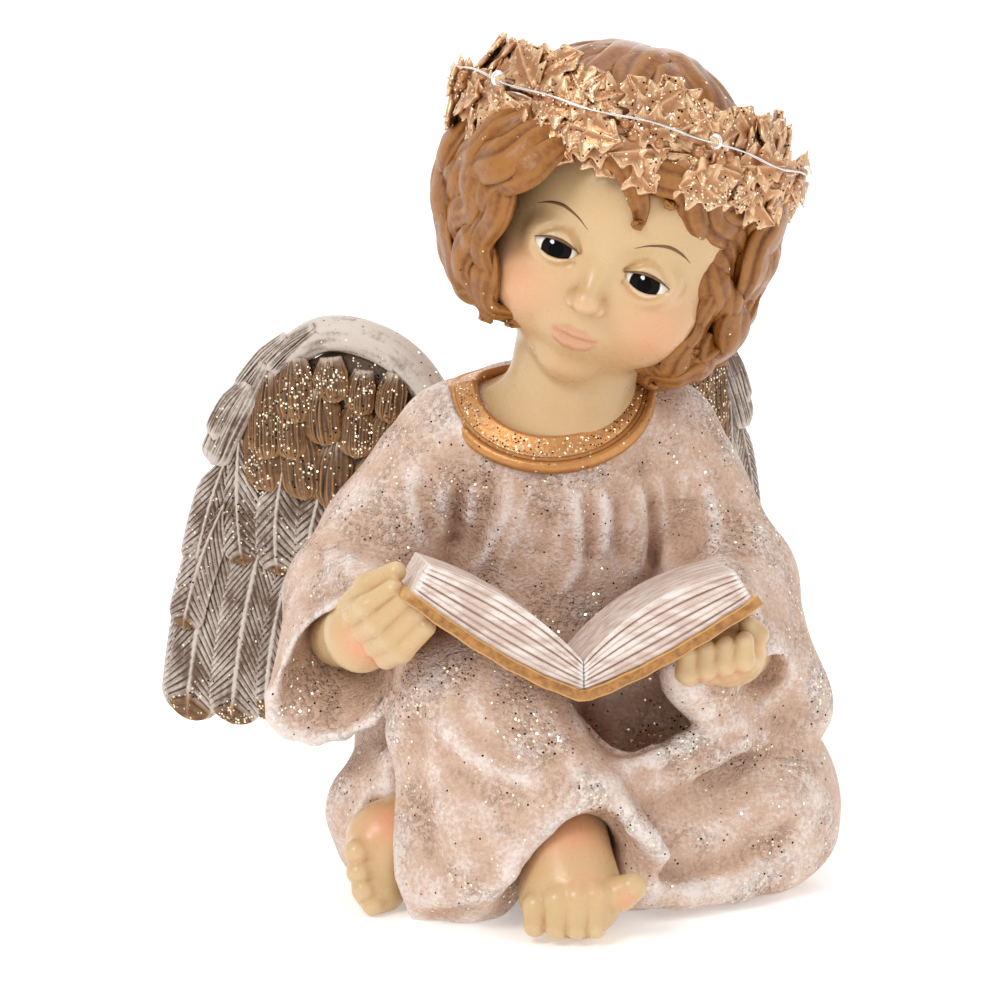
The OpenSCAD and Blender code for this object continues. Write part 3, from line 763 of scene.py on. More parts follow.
def arc_of_lid(side, low, high, rise, count=7):
    a = np.linspace(low, high, count)
    b = rise * (1 - (a / 5.6) ** 2)
    c = np.sqrt(np.maximum(LID_R**2 - a**2 - b**2, 4))
    return np.stack([side * EYE[0] + a, EYE[1] + b, EYE[2] + c], -1)


def bare_face(q):
    """The face without its lips."""
    f = blend(6, ball(q, (0, 3, -3), (25.5, 27, 27)), ball(q, (0, -9, 3.5), (23.3, 22.3, 20.5)),
              ball(q, (0, 9, 6), (20.5, 17.5, 19.5)))
    f = blend(5, f, ball(q, (-11.5, -13.5, 11.5), (10.5, 9.5, 10)),
              ball(q, (11.5, -13.5, 11.5), (10.5, 9.5, 10)))
    f = blend(4, f, ball(q, (0, -27.8, 13.2), (6.5, 4.6, 6)),
              ball(q, (0, -19, 16.4), (7.0, 6, 6.4)))
    for s in (-1, 1):
        f = carve(f, ball(q, (s * 10.5, -1.0, 27), (6.5, 4.0, 3.4)), 4)
        f = blend(1.2, f, ball(q, (s * EYE[0], EYE[1], EYE[2]), LID_R))
        f = carve(f, chain(q, arc_of_lid(s, -5, 5, 4.7), 0.5, 0.3), 0.9)
        f = carve(f, chain(q, arc_of_lid(s, -4.5, 4.5, -3.9), 0.4, 0.3), 1.0)
        dx, dy = q[:, 0] - s * EYE[0], q[:, 1] - EYE[1]
        almond = np.maximum(np.hypot(dx, dy + 4.7) - 6.8, np.hypot(dx, dy - 5.6) - 7.5)
        f = carve(f, np.maximum(almond, EYE[2] + 2 - q[:, 2]), 0.4)
    f = blend(2.5, f, limb(q, (0, -2, 22.5), 2.1, (0, -9.8, 26.6), 2.5))
    f = blend(1.6, f, ball(q, (0, -10.8, 27.0), (2.7, 2.4, 2.8)), ball(q, (-2.7, -11.8, 25.0), 1.5),
              ball(q, (2.7, -11.8, 25.0), 1.5))
    for s in (-1, 1):
        f = carve(f, ball(q, (s * 1.5, -13.2, 26.6), (0.8, 0.6, 1.0)), 0.6)
    f = carve(f, limb(q, (0, -14.2, 26.4), 0.5, (0, -17.0, 26.4), 0.5), 1.2)
    return carve(f, limb(q, (-2, -24, 25.2), 0.8, (2, -24, 25.2), 0.8), 2.0)


def foremost(field, a, b, proud=0.0):
    """Foremost point of a field at a place across the face and up it."""
    c = np.linspace(36, 8, 281)
    q = np.stack([np.full_like(c, a), np.full_like(c, b), c], -1).astype(np.float32)
    return (a, b, c[np.argmax(field(q) < 0)] + proud)


UPPER_LIP = [foremost(bare_face, a, b, -0.3) for a, b in
             ((-4.0, -19.5), (-1.7, -18.6), (0, -18.9), (1.7, -18.6), (4.0, -19.5))]
LOWER_LIP = [foremost(bare_face, a, b, -0.35) for a, b in
             ((-3.0, -20.8), (-1.1, -21.4), (1.1, -21.4), (3.0, -20.8))]
LIP_LINE = [foremost(bare_face, a, b, 0.25) for a, b in
            ((-4.9, -19.4), (-2.4, -19.8), (0, -20.0), (2.4, -19.8), (4.9, -19.4))]


def face_field(q):
    f = blend(0.9, bare_face(q), chain(q, UPPER_LIP, 0.75, 0.5), chain(q, LOWER_LIP, 1.0, 0.5))
    return carve(f, chain(q, LIP_LINE, 0.3, 0.3), 0.4)


def head_field(p):
    face = face_field((p - np.float32(HEAD_MID)) @ np.float32(HEAD_AXES))
    c, s = math.cos(COLLAR_TILT), math.sin(COLLAR_TILT)
    n = p - np.float32(NECKLINE)
    n = np.stack([n[:, 0], n[:, 1] * c + n[:, 2] * s, n[:, 2] * c - n[:, 1] * s], -1)
    n[:, 2] += COLLAR_DROP * np.maximum(n[:, 1], 0)
    bib = np.maximum(ball(n, (0, 0, -8), (20, 20, 9)), length(n[:, :2]) - 17.2)
    neck = blend(6, limb(p, (12.5, 4, 94), 13, (18.5, -1, 121), 14), bib)
    return blend(2.5, face, neck)


def spot(points, centre, radius):
    return np.exp(-((points - np.array(centre)) ** 2).sum(1) / radius**2)


def make_head():
    verts, quads = skin(head_field, (-12, -40, 84), (62, 36, 176), 0.45)
    verts = relax(verts, edges_of(quads), 1)
    q = (verts - HEAD_MID) @ HEAD_AXES
    f = q.astype(np.float32)
    lips = np.minimum(chain(f, UPPER_LIP, 0.75, 0.5), chain(f, LOWER_LIP, 1.0, 0.5)) - 0.35
    blush = sum(spot(q, (s * 14, -13.5, 17), 8) for s in (-1, 1)) * 0.75
    blush += spot(q, (0, -11, 29), 3) * 0.25 + spot(q, (0, -28, 18), 4) * 0.25
    add_piece("head_skin", (verts, quads), SKIN, ("head",), {
        "wear_and_shade": 0.5 * relief(verts, quads, 30, 1.6) + 0.5 * relief(verts, quads, 6, 0.5),
        "lips": np.clip(0.5 - lips / 0.8, 0, 1) * 0.6, "blush": np.clip(blush, 0, 1)})
    white = Paint("eye_paint", Roughness=0.15)
    white.set("Specular IOR Level", 0.06)
    r = white.layer("iris")
    dark = white.mix(white.ramp(r, 1.5, 1.75), (0.001, 0.001, 0.001), (0.009, 0.006, 0.005))
    dark = white.mix(white.ramp(r, 2.75, 3.1), dark, (0.002, 0.002, 0.002))
    edge = white.mix(white.ramp(r, 3.15, 3.4), dark, rgb("EFE8DC"))
    edge = white.mix(white.ramp(r, 3.4, 4.6), edge, rgb("D9C9B4"))
    white.set("Base Color", white.mix(white.ramp(white.layer("glint"), 0.55, 0.4), edge,
                                      (0.95, 0.96, 1)))
    balls, iris, glint = [], [], []
    for s in (-1, 1):
        rings = globe(40, 32, 0.006) * EYE_R
        off = np.linalg.norm((rings - np.array([-0.25 * s, -0.2, EYE_R]))[..., :2], axis=-1)
        iris.append(np.where(rings[..., 2] > 0, off, 9).ravel())
        glint.append(np.linalg.norm(rings - np.array([-1.1, 1.1, 7]), axis=-1).ravel())
        balls.append(loft(on_head(rings.reshape(-1, 3) + EYE * [s, 1, 1]).reshape(rings.shape)))
    add_piece("eyes", merge(balls), white.material,
              layers={"iris": np.hstack(iris), "glint": np.hstack(glint)})
    make_brows()


def make_brows():
    p = Paint("brow_paint", Roughness=0.5)
    p.set("Base Color", p.mix(p.noise(1.0), rgb("5A3A20"), rgb("7C5630")))
    strokes = []
    for s in (-1, 1):
        brow = [foremost(face_field, s * a, b) for a,
                b in ((5.2, 3.6), (8, 5.2), (11.5, 5.9), (14.5, 5.0), (17, 3.2))]
        brow = smooth_path(on_head(brow), 24)
        t = np.linspace(0, 1, 24)
        strokes.append(tube(brow, 0.08 + 0.3 * np.sin(np.pi * np.clip(t * 0.9 + 0.05, 0, 1)),
                            HEAD_AXES[:, 2], 8, 0.5))
        lash = arc_of_lid(s, -5.0, 5.0, 2.1, 13)
        lash = smooth_path(on_head(lash + (0, 0.1, 0.0)), 26)
        strokes.append(tube(lash, 0.12 + 0.22 * np.sin(np.pi * np.linspace(0, 1, 26)),
                            HEAD_AXES[:, 2], 8))
    add_piece("brows", merge(strokes), p.material)


make_head()


def right_hand_field(p):
    f = blend(4, limb(p, (-34, -12, 54), 7, (-30, -30, 59), 7),
              ball(p, (-28.8, -35, 59.5), (7.2, 6.5, 7.8)))
    knuckles = [(-30.2, -41, 65.4), (-28.2, -42, 62), (-26, -43, 59.2), (-23.6, -43.5, 56.8)]
    middles = [(-27.4, -45, 68), (-25, -47, 64.8), (-22.4, -48.3, 62), (-20.2, -48.5, 59.6)]
    tips = [(-22, -46.5, 72), (-19.2, -49.5, 70.2), (-16.8, -51.5, 68.4), (-15.2, -52, 65.4)]
    fingers = [bent(p, 1, (a, 2.5), (b, 2.45), (c, 2.15)) for a, b,
               c in zip(knuckles, middles, tips)]
    f = blend(2.2, f, blend(0.5, *fingers))
    thumb = bent(p, 1, ((-31, -36, 66), 3), ((-27.5, -40.5, 71.5), 2.6), ((-21.5, -43, 75), 2.2))
    return blend(1.5, f, thumb)


def left_hand_field(p):
    f = blend(4, limb(p, (52, -14, 52), 7, (49, -32, 55), 6.8),
              ball(p, (46.5, -37, 55.5), (8.3, 6, 6)))
    fingers = []
    for i in range(4):
        x, z = 38.7 + 3.9 * i, 53 + 0.9 * i
        fingers.append(bent(p, 1, ((x + 0.8, -40.5, z - 1.2), 2.3), ((x, -45.3, z + 1), 2.3),
                            ((x + 0.1, -45.8, z + 5.2), 2.1)))
    f = blend(1.6, f, blend(0.4, *fingers))
    thumb = bent(p, 1, ((52, -36, 57), 3), ((53.5, -38.5, 60.5), 2.4), ((51.5, -40, 63), 2.0))
    return blend(1.5, f, thumb)


def right_foot_field(p):
    f = blend(5, limb(p, (14.5, -36, 22), 8, (13.8, -46, 14), 8.6),
              ball(p, (14.5, -51, 8), (10.5, 9, 8)),
              limb(p, (14, -46, 14), 8, (17, -54, 7.5), 7))
    toes = []
    for x, y, top, r in ((7.4, -57.6, 7.4, 2.9), (11.8, -59.2, 9.0, 2.9), (16.0, -59.6, 9.6, 2.8),
                         (20.0, -59.2, 10.0, 2.7)):
        toes.append(bent(p, 1, ((x, y + 5, top - 1), r), ((x, y, top), r - 0.3),
                         ((x - 0.2, y - 1.4, 3.6), r - 0.5)))
    big = bent(p, 1, ((21.5, -53, 8), 3.9), ((25, -57, 10), 3.5), ((27.2, -58, 11.6), 3.1))
    f = blend(1.6, f, blend(0.25, *toes), big)
    for x, y, z in ((7.2, -61.4, 5.2), (11.6, -62.9, 5.8), (15.8, -63.3, 6), (19.8, -62.6, 6.2)):
        f = carve(f, limb(p, (x - 0.9, y, z), 0.3, (x + 0.9, y, z), 0.3), 0.4)
    return np.maximum(f, FLOOR_GAP - p[:, 2])


def left_foot_field(p):
    f = bent(p, 5, ((-17, -24, 16), 8), ((-24.5, -31, 14), 7), ((-25.5, -34.5, 5), 6))
    toes = [limb(p, (-27.5, -35, 14), 3, (-30.2, -38.6, 13.4), 2.7),
            limb(p, (-27, -36, 10), 3, (-29.8, -39.8, 9.4), 2.6),
            limb(p, (-26.5, -36, 6.2), 3, (-28.8, -40.2, 5.6), 2.5),
            limb(p, (-25, -36, 2.8), 2.8, (-26.8, -40, 2.4), 2.4)]
    f = blend(1.6, f, blend(0.4, *toes))
    return np.maximum(f, FLOOR_GAP - p[:, 2])


def make_limb(name, field, low, high, node, spots):
    verts, quads = skin(field, low, high, 0.4)
    verts = relax(verts, edges_of(quads), 1)
    blush = sum(spot(verts, s[:3], s[3]) for s in spots)
    add_piece(name, (verts, quads), SKIN, (node,), {
        "wear_and_shade": 0.5 * relief(verts, quads, 30, 1.5) + 0.5 * relief(verts, quads, 6, 0.5),
        "blush": np.clip(blush * 0.8, 0, 1)})


make_limb("hand_right", right_hand_field, (-46, -58, 44), (-10, -4, 80), "right_hand",
          [(-30, -40, 60, 3), (-27, -41, 57.5, 3), (-24, -42, 55.5, 2.5)])
make_limb("hand_left", left_hand_field, (34, -54, 42), (64, -6, 74), "left_hand",
          [(42, -44, 53, 2.5), (48, -43.5, 54.5, 2.5), (52, -42, 57, 2.5)])
make_limb("foot_right", right_foot_field, (0, -68, -1), (34, -26, 32), "right_foot",
          [(15, -50, 20, 6), (10, -50, 15, 4), (26, -62, 9, 2.5), (17, -58, 11, 3)])
make_limb("foot_left", left_foot_field, (-36, -45, -1), (-6, -14, 27), "left_foot",
          [(-24, -36, 19, 5), (-29, -36, 12, 3)])

# ---- book ----

BOOK_FOOT = np.array([17.4, -56.5, 52.8])


def on_book(points):
    """Book frame of part.scad, x across, y towards the angel, z up, to the figure's frame."""
    a, b = math.radians(-8), math.radians(6)
    tilt = np.array([[1, 0, 0], [0, math.cos(a), -math.sin(a)], [0, math.sin(a), math.cos(a)]])
    spin = np.array([[math.cos(b), -math.sin(b), 0], [math.sin(b), math.cos(b), 0], [0, 0, 1]])
    return BOOK_FOOT + np.asarray(points, float) @ (spin @ tilt).T


PAGE_SHEETS = 7


def bezier(a, b, c, count):
    t = np.linspace(0, 1, count)[:, None]
    return (1 - t) ** 2 * np.array(a) + 2 * t * (1 - t) * np.array(b) + t**2 * np.array(c)


def rim_of(sheet):
    """A sheet's outermost values, in order round it."""
    return np.concatenate([sheet[0], sheet[1:, -1], sheet[-1, -2::-1], sheet[-2:0:-1, 0]])


def slab(sheets):
    """Closed mesh over a stack of equal grids of points: their rims, and the two outer grids."""
    rings = np.array([rim_of(sheet) for sheet in sheets])
    n = rings.shape[1]
    verts = rings.reshape(-1, 3)
    quads = [wall(len(rings), n)]
    rows, columns = sheets[0].shape[:2]
    place = rim_of(np.arange(rows * columns).reshape(rows, columns))
    for sheet, start, turn in ((sheets[0], 0, 1), (sheets[-1], (len(rings) - 1) * n, -1)):
        ids = np.empty(rows * columns, int)
        ids[place] = start + np.arange(n)
        ids = ids.reshape(rows, columns)
        inner = sheet[1:-1, 1:-1].reshape(-1, 3)
        ids[1:-1, 1:-1] = len(verts) + np.arange(len(inner)).reshape(rows - 2, columns - 2)
        verts = np.vstack([verts, inner])
        cap = np.stack([ids[:-1, :-1], ids[1:, :-1], ids[1:, 1:], ids[:-1, 1:]], -1)
        quads.append(cap.reshape(-1, 4)[:, ::turn])
    return verts, np.vstack(quads)


def make_book():
    cover = Paint("cover_paint")
    streak = cover.noise(1.4, 4, 0.6, (1, 0.25, 1))
    tone = cover.mix(cover.ramp(streak, 0.35, 0.62), rgb("74430F"), rgb("AE7433"))
    tone = cover.mix(cover.ramp(cover.layer("wear_and_shade"), 0.62, 0.85, 0, 0.7), tone, rgb("D9A868"))
    cover.finish(tone, cover.ramp(streak, 0.3, 0.7, 0.3, 0.5), cover.bump(streak, 0.12))
    left = bezier((-2.6, -0.7), (-16, 4), (-37, 20.5), 26)[::-1]
    right = bezier((2.6, -0.7), (16, 4), (37, 17.5), 26)
    under = np.vstack([left, [(-1.1, -1.3), (1.1, -1.3)], right])
    slope = np.gradient(under, axis=0)
    up = np.stack([-slope[:, 1], slope[:, 0]], -1) / np.linalg.norm(slope, axis=1)[:, None]
    y = np.array([0, 0.15, 0.6, 9, 18, 26, 34.4, 34.85, 35.0])
    thin = np.array([0.55, 0.85, 1, 1, 1, 1, 1, 0.85, 0.55])
    rings = []
    for depth, k in zip(y, thin):
        wave = 0.12 * np.sin(under[:, 0] * 0.9 + depth * 0.35)
        low = under + up * (0.2 - 0.9 * k + wave[:, None] * 0.8)
        high = under + up * (0.9 + 0.9 * k + wave[:, None] * 0.5)
        edge = np.vstack([low, high[::-1]])
        rings.append(np.stack([edge[:, 0], np.full(len(edge), depth), edge[:, 1]], -1))
    mesh = loft(np.array(rings)[:, ::-1])
    mesh = on_book(mesh[0]), mesh[1]
    add_piece("book_cover_boards", mesh, cover.material, ("book_cover",),
              {"wear_and_shade": relief(*mesh, 3, 0.6)})
    page = Paint("page_paint")
    tint = page.mix(page.ramp(page.noise(2.4, 4, 0.6, (0.3, 1, 1)), 0.4, 0.6), rgb("E6D9D0"),
                    rgb("C8AFA0"))
    tint = page.mix(page.ramp(page.layer("wear_and_shade"), 0.5, 0.3), tint, rgb("9C7360"))
    tint = page.mix(page.ramp(page.layer("wear_and_shade"), 0.52, 0.7, 0, 0.8), tint, rgb("F1EBE7"))
    page.finish(tint, 0.6, page.bump(page.noise(0.8, 3), 0.06))
    for side, name in ((-1, "right_pages"), (1, "left_pages")):
        end = np.array([35 * side, 18.4 + (2.8 if side < 0 else 0)])
        low = bezier((0.1 * side, 0.3), (15 * side, 4.6), end, 44)
        high = bezier((0.1 * side, 6.2), (13 * side, 21), end + [-3.4 * side, 5.6], 44)
        levels = np.linspace(0, 1, 57)
        face = low * (1 - levels[:, None, None]) + high * levels[:, None, None]
        groove = np.abs(((levels * PAGE_SHEETS) % 1) - 0.5) * 2
        sink = 0.7 * np.clip((groove - 0.2) / 0.8, 0, 1) ** 1.4
        sink[0] = sink[-1] = 0.25
        wobble = (0.12 * np.sin(levels * 31)[:, None]
                  + 0.1 * np.sin(np.linspace(0, 9, 44) + levels[:, None] * 7))
        sink = (sink[:, None] * (0.75 + 0.35 * np.sin(np.linspace(0, 5, 44) + levels[:, None] * 23))
                + 0.12 + wobble * 0.4)
        front = np.dstack([face[..., 0], 1 + sink, face[..., 1]])
        back = np.dstack([face[..., 0], 34 - sink, face[..., 1]])
        middle = [np.dstack([face[..., 0], np.full(face.shape[:2], d), face[..., 1]])
                  for d in (1.6, 12, 23, 33.4)]
        verts, quads = slab([front, *middle, back])
        mesh = on_book(verts), quads if side < 0 else quads[:, ::-1]
        add_piece(name + "_block", mesh, page.material, (name,),
                  {"wear_and_shade": relief(*mesh, 4, 0.6)})


make_book()

# ---- collar ----


def collar_paint():
    p = Paint("collar_gold")
    wear_and_shade = p.layer("wear_and_shade")
    gold = p.mix(p.noise(1.5, 3), rgb("B87A42"), rgb("D39C62"))
    gold = p.mix(p.ramp(wear_and_shade, 0.45, 0.2), gold, rgb("6E4020"))
    normal = p.bump(p.noise(0.7, 3), 0.12)
    p.sprinkle(gold, normal, 0.38, 0.55, p.ramp(p.layer("band"), 0, 1, 0.04, 0.6), metal=0.55)
    return p.material


def make_collar():
    stops = [(18.0, -2.4, 0), (17.7, -0.4, 0), (18.1, 1.0, 0), (18.9, 1.4, 0), (19.5, 1.0, 0.2),
             (19.9, 0.8, 1),
             (21.6, 0.5, 1), (23.0, 0.0, 1), (23.4, -0.5, 0.1), (23.8, -0.2, 0), (24.3, -0.75, 0),
             (24.7, -0.4, 0),
             (25.6, -0.5, 0), (26.4, -1.2, 0), (26.6, -2.2, 0), (25.8, -3.2, 0), (22.0, -3.4, 0),
             (19.0, -3.2, 0)]
    profile = np.array(stops)
    count = 160
    a = np.linspace(0, 2 * math.pi, count, endpoint=False)
    c, s = math.cos(COLLAR_TILT), math.sin(COLLAR_TILT)
    r, z = profile[:, 0], profile[:, 1]
    x = np.cos(a)[:, None] * r
    y = np.sin(a)[:, None] * r
    height = z - 0.028 * np.maximum(r - 19, 0) ** 1.5 + 0 * x
    x, y = COLLAR_SIZE * x, COLLAR_SIZE * y
    fall = NECK_BEND * np.maximum(y, 0)
    verts = np.stack([x, y * c - height * s, y * s + height * c - fall], -1) + NECKLINE
    m = len(profile)
    i, j = np.arange(count)[:, None], np.arange(m)[None]
    i2, j2 = (i + 1) % count, (j + 1) % m
    quads = np.stack([i * m + j, i2 * m + j, i2 * m + j2, i * m + j2], -1).reshape(-1, 4)
    mesh = verts.reshape(-1, 3), quads[:, ::-1]
    add_piece("collar_band", mesh, collar_paint(), ("collar_trim",),
              {"wear_and_shade": relief(*mesh, 3, 0.7), "band": np.tile(profile[:, 2], count)})


make_collar()

# ---- hair ----

HAIR_MID, HAIR_LOW = np.array([24, 5, 146.0]), 104
LOCK_SIDES, TOP_LOCKS = 24, 22
CROWN = np.array([33, 9, 176])
WREATH_MID = np.array([26.4, 2.3, 157.6])
WIRE_R, WIRE_STEPS = 0.17, 220
DROP_STEPS = (12, 58, 126, 176, 210)  # where the LED drops sit along the wire


def wreath_axes():
    a, b = math.radians(-7), math.radians(17)
    nod = np.array([[1, 0, 0], [0, math.cos(a), -math.sin(a)], [0, math.sin(a), math.cos(a)]])
    lean = np.array([[math.cos(b), 0, math.sin(b)], [0, 1, 0], [-math.sin(b), 0, math.cos(b)]])
    return lean @ nod


WREATH_AXES = wreath_axes()


def on_wreath(points):
    return WREATH_MID + np.asarray(points, float) @ WREATH_AXES.T


def unit(v):
    return v / np.linalg.norm(v, axis=-1, keepdims=True)


FRONT_LOCKS = [
    ([(16, -29, 163), (9, -31.5, 160.5), (2, -30, 156.5), (-4, -25.5, 151), (-8, -19, 145),
      (-9, -15, 138)], 3.3),
    ([(12, -28, 166), (3, -29, 162), (-5, -25, 156), (-11, -17, 149), (-13, -10, 141),
      (-9.5, -11, 134)], 4.2),
    ([(6, -25, 168), (-4, -22, 161.5), (-11, -13, 154), (-14.5, -4, 146), (-14, -3, 138),
      (-9.5, -8, 131), (-6, -12, 129)], 4.6),
    ([(-6, -20, 147), (-9, -17, 139), (-12.5, -13, 133), (-10, -12.5, 127.5), (-4.5, -14, 126.5)],
     3.7),
    ([(-5, -19, 139), (-6, -18, 131), (-3, -16.5, 125.5), (2, -14, 123.5)], 2.9),
    ([(-12, 2, 152), (-15.5, 5, 142), (-15, 2, 134), (-10.5, -3, 128), (-5, -7, 125)], 4.8),
    ([(18, -30, 163), (23, -32.5, 159), (28, -32.5, 154.5), (29.8, -32, 150), (28.6, -31, 146.5)],
     2.7),
    ([(24, -30, 162.5), (31, -31.5, 158), (36.5, -30, 153), (41.5, -26, 148), (43.5, -21, 141),
      (42, -17.5, 133)], 3.5),
    ([(32, -28, 161), (40, -27.5, 155), (47, -22.5, 149), (49.5, -16, 140.5), (46, -12, 132.5),
      (48.5, -9, 126)], 4.4),
    ([(40, -24, 157), (48, -20.5, 151), (55, -13, 145), (57.5, -5, 137), (54, -4, 130),
      (57, -2, 125), (53, -2, 120)], 4.8),
    ([(44, -19, 138), (46.5, -16.5, 131), (43, -14, 124.5), (41, -14, 119), (36, -15, 115.5)], 3.9),
    ([(50, -10, 130), (53, -8, 123), (49, -8, 116.5), (42.5, -10, 113), (37, -12, 112.5)], 4.3),
    ([(42.5, -18.5, 134), (40, -17, 126), (38, -16, 120), (34.5, -14.5, 115.5)], 2.8),
    ([(56, 0, 144), (60, 4, 136), (58, 4, 128), (54, 2, 119.5), (49, 2, 114)], 4.8),
    ([(34, -29, 159), (36.5, -30, 154), (35, -30.5, 150.5)], 2.2),
    ([(5, -30, 159), (0, -28, 154), (-3.5, -24.5, 147), (-5.5, -21, 140), (-6, -18, 132),
      (-4, -16, 126)], 3.0),
    ([(43, -24, 151), (46, -20, 144), (44.5, -17.5, 137), (47, -15, 130), (44, -14, 123),
      (41, -14, 118)], 3.8),
    ([(46, -20, 149), (51, -15, 142), (49, -12, 135), (52, -10, 128), (49, -9, 121),
      (45, -10, 116)], 4.2),
    ([(41, -15, 121), (39, -16, 115.5), (35, -15.5, 112), (31, -14.5, 113), (30.5, -14, 116)], 3.2),
    ([(46, -10, 119), (43, -12, 113), (38, -12, 110), (33, -12, 110)], 3.4),
]


def cap_field(p):
    q = (p - np.float32(HEAD_MID)) @ np.float32(HEAD_AXES)
    f = blend(6, ball(q, (-0.5, 3.5, -8), (29.5, 31, 29.5)), ball(q, (-4, -14, -14), (26, 17, 19)),
              ball(q, (18.5, -17, -5), (10, 16, 11)), ball(q, (-22, -9, -5), (6.5, 12, 9)))
    return carve(f, ball(q, (0, -8, 26), (21.5, 27.5, 27)), 1.5)


def lock(stops, radius, hook=0.0, sway=0.36, flat=0.6):
    """Ribbon of hair with cut strands; hook turns its end outwards."""
    stops = np.array(stops, float)
    if hook:
        run, out = unit(stops[-1] - stops[-2]), unit(stops[-1] - HAIR_MID)
        stops = np.vstack([stops] + [stops[-1] + hook * radius * (a * run + b * out)
                                     for a, b in ((0.7, 0.35), (0.95, 1.0), (0.45, 1.6))])
    path = smooth_path(stops, max(24, len(stops) * 8))
    out = unit(path - HAIR_MID)
    t = np.linspace(0, 1, len(path))
    _, side, _ = tube_frames(path, out)
    turns = np.linalg.norm(np.diff(path, axis=0), axis=1).sum() / 19
    swing = (np.sin(2 * math.pi * turns * t + rng.uniform(0, 6.3)) * np.minimum(1, 3 * t) * sway
             * radius)
    path = path + side * swing[:, None] + out * (0.5 * swing * np.cos(9 * t))[:, None]
    taper = (0.45 + 0.55 * np.minimum(1, t * 4)) * (1 - 0.78 * t**2.6)
    a, b, turn = rng.uniform(0, 6.3, 3)

    def grooves(angle, s):
        return (1 + 0.06 * np.cos(3 * angle + a + 1.5 * s) + 0.07 * np.cos(7 * angle + b + 2 * s)
                + 0.05 * np.cos(11 * angle + turn + s))

    return tube(path, radius * taper, out, LOCK_SIDES, flat, grooves)


def spread_lock(start, end, radius, bulge, wave, turns, sway, flat):
    """Lock that runs over the head from one direction to another, waving sideways."""
    a, b = unit(start - HAIR_MID), unit(end - HAIR_MID)
    ra, rb = np.linalg.norm(start - HAIR_MID), np.linalg.norm(end - HAIR_MID)
    gap = math.acos(np.clip(a @ b, -1, 1))
    side = unit(np.cross(a, b))
    t = np.linspace(0, 1, 9)[:, None]
    d = (np.sin((1 - t) * gap) * a + np.sin(t * gap) * b) / math.sin(gap)
    phase = rng.uniform(0, 6.3)
    swing = wave * np.sin(turns * 6.28 * t + phase) * np.minimum(1, t * 2.5)
    r = (ra + (rb - ra) * t + bulge * np.sin(np.pi * t)
         + 0.35 * wave * np.cos(turns * 6.28 * t + phase))
    return lock(HAIR_MID + d * r + side * swing, radius, sway=sway, flat=flat)


def drawn_in(stops):
    """The stops with their far sides pulled in towards the head."""
    out = np.array(stops, float)
    off = out[:, 0] - 23
    out[:, 0] = 23 + off * (1 - 0.15 * np.minimum(np.abs(off) / 36, 1.1) ** 2)
    return out


def make_hair():
    locks = [lock(drawn_in(stops), radius * 1.28, hook=0.3, flat=0.52) for stops,
             radius in FRONT_LOCKS]
    for i in range(TOP_LOCKS):
        angle = 2 * math.pi * (i + rng.uniform(-0.25, 0.25)) / TOP_LOCKS
        end = on_wreath((29.5 * math.cos(angle), 29.5 * math.sin(angle), 0))
        start = CROWN + rng.uniform(-1.5, 1.5, 3) * (1, 1, 0.3)
        locks.append(spread_lock(start, end, rng.uniform(4.6, 5.6), rng.uniform(-0.9, 0.0), 0.5,
                                 0.8, sway=0.08, flat=0.42))
    for layer, count, radius in ((0, 15, 7.4), (1, 17, 6.4)):
        for i in range(count):
            angle = math.radians(-22 + 224 * (i + rng.uniform(-0.2, 0.2) + 0.5 * layer) / count)
            start = on_wreath((30.5 * math.cos(angle), 30.5 * math.sin(angle), 1 - 5 * layer))
            drop = rng.uniform(0, 5)
            low = np.array([24 + (25 - layer) * math.cos(angle - 0.15), 7 + 24 * math.sin(angle),
                            115.5 + drop + 3 * abs(math.cos(angle))])
            locks.append(spread_lock(start, low, radius * rng.uniform(0.85, 1.1), 1.5 + layer * 1.2,
                                     1.8, 1.3, sway=0.22, flat=0.42))
    cap = skin(cap_field, (-20, -36, 104), (66, 44, 184), 1.0)
    locks.append((relax(cap[0], edges_of(cap[1]), 3), cap[1]))
    mesh = merge(locks)
    verts = mesh[0]
    verts[:, 2] = np.maximum(verts[:, 2], HAIR_LOW)
    # Painted shade: openness and the depth term lower this layer in the hollows between locks and
    # on the locks lying deeper towards the head, so the paint below makes them darker and the
    # outer, open locks lighter; relief adds the cut grooves.
    depth = np.linalg.norm((verts - HAIR_MID) / (1, 1, 0.96), axis=1)
    wear_and_shade = (0.45 * relief(*mesh, 6, 0.5) + 0.2 * np.clip((depth - 30) / 8, 0, 1)
            + 0.35 * openness(*mesh, 5))
    p = Paint("hair_resin", Specular_IOR_Level=0.3)
    w = p.layer("wear_and_shade")
    streak = p.noise(1.3, 4, 0.65)
    mixed = p.vary(w, streak, 0.5)
    # Dark brown in the grooves and, as painted shade, between and under locks; light brown as a
    # painted highlight on the outer locks.
    colour = p.mix(p.ramp(mixed, 0.64, 0.36), rgb("774317"), rgb("2A1206"))
    colour = p.mix(p.ramp(mixed, 0.68, 0.97), colour, rgb("A06A34"))
    normal = p.bump(p.noise(0.9, 3), 0.12)
    p.sprinkle(colour, normal, 0.3, 0.6, 0.006)
    add_piece("hair_locks", mesh, p.material, ("hair",), {"wear_and_shade": wear_and_shade})


make_hair()

# ---- wreath and lights ----


def gold_paint():
    p = Paint("wreath_gold")
    wear_and_shade = p.layer("wear_and_shade")
    gold = p.mix(p.noise(3, 3), rgb("A97248"), rgb("BE8C64"))
    # Dark brown where the layer is low: a wash in the grooves, and on the leaves also painted shade
    # between them; light gold where it is high, on the leaves partly a painted highlight on open
    # faces.
    gold = p.mix(p.ramp(wear_and_shade, 0.56, 0.28), gold, rgb("532C15"))
    gold = p.mix(p.ramp(wear_and_shade, 0.66, 0.88), gold, rgb("E6BE94"))
    p.sprinkle(gold, p.bump(p.noise(0.7, 3), 0.12), 0.3, 0.6,
               p.ramp(p.noise(7, 2), 0.4, 0.6, 0.05, 0.5), metal=0.6)
    return p.material


GOLD = gold_paint()


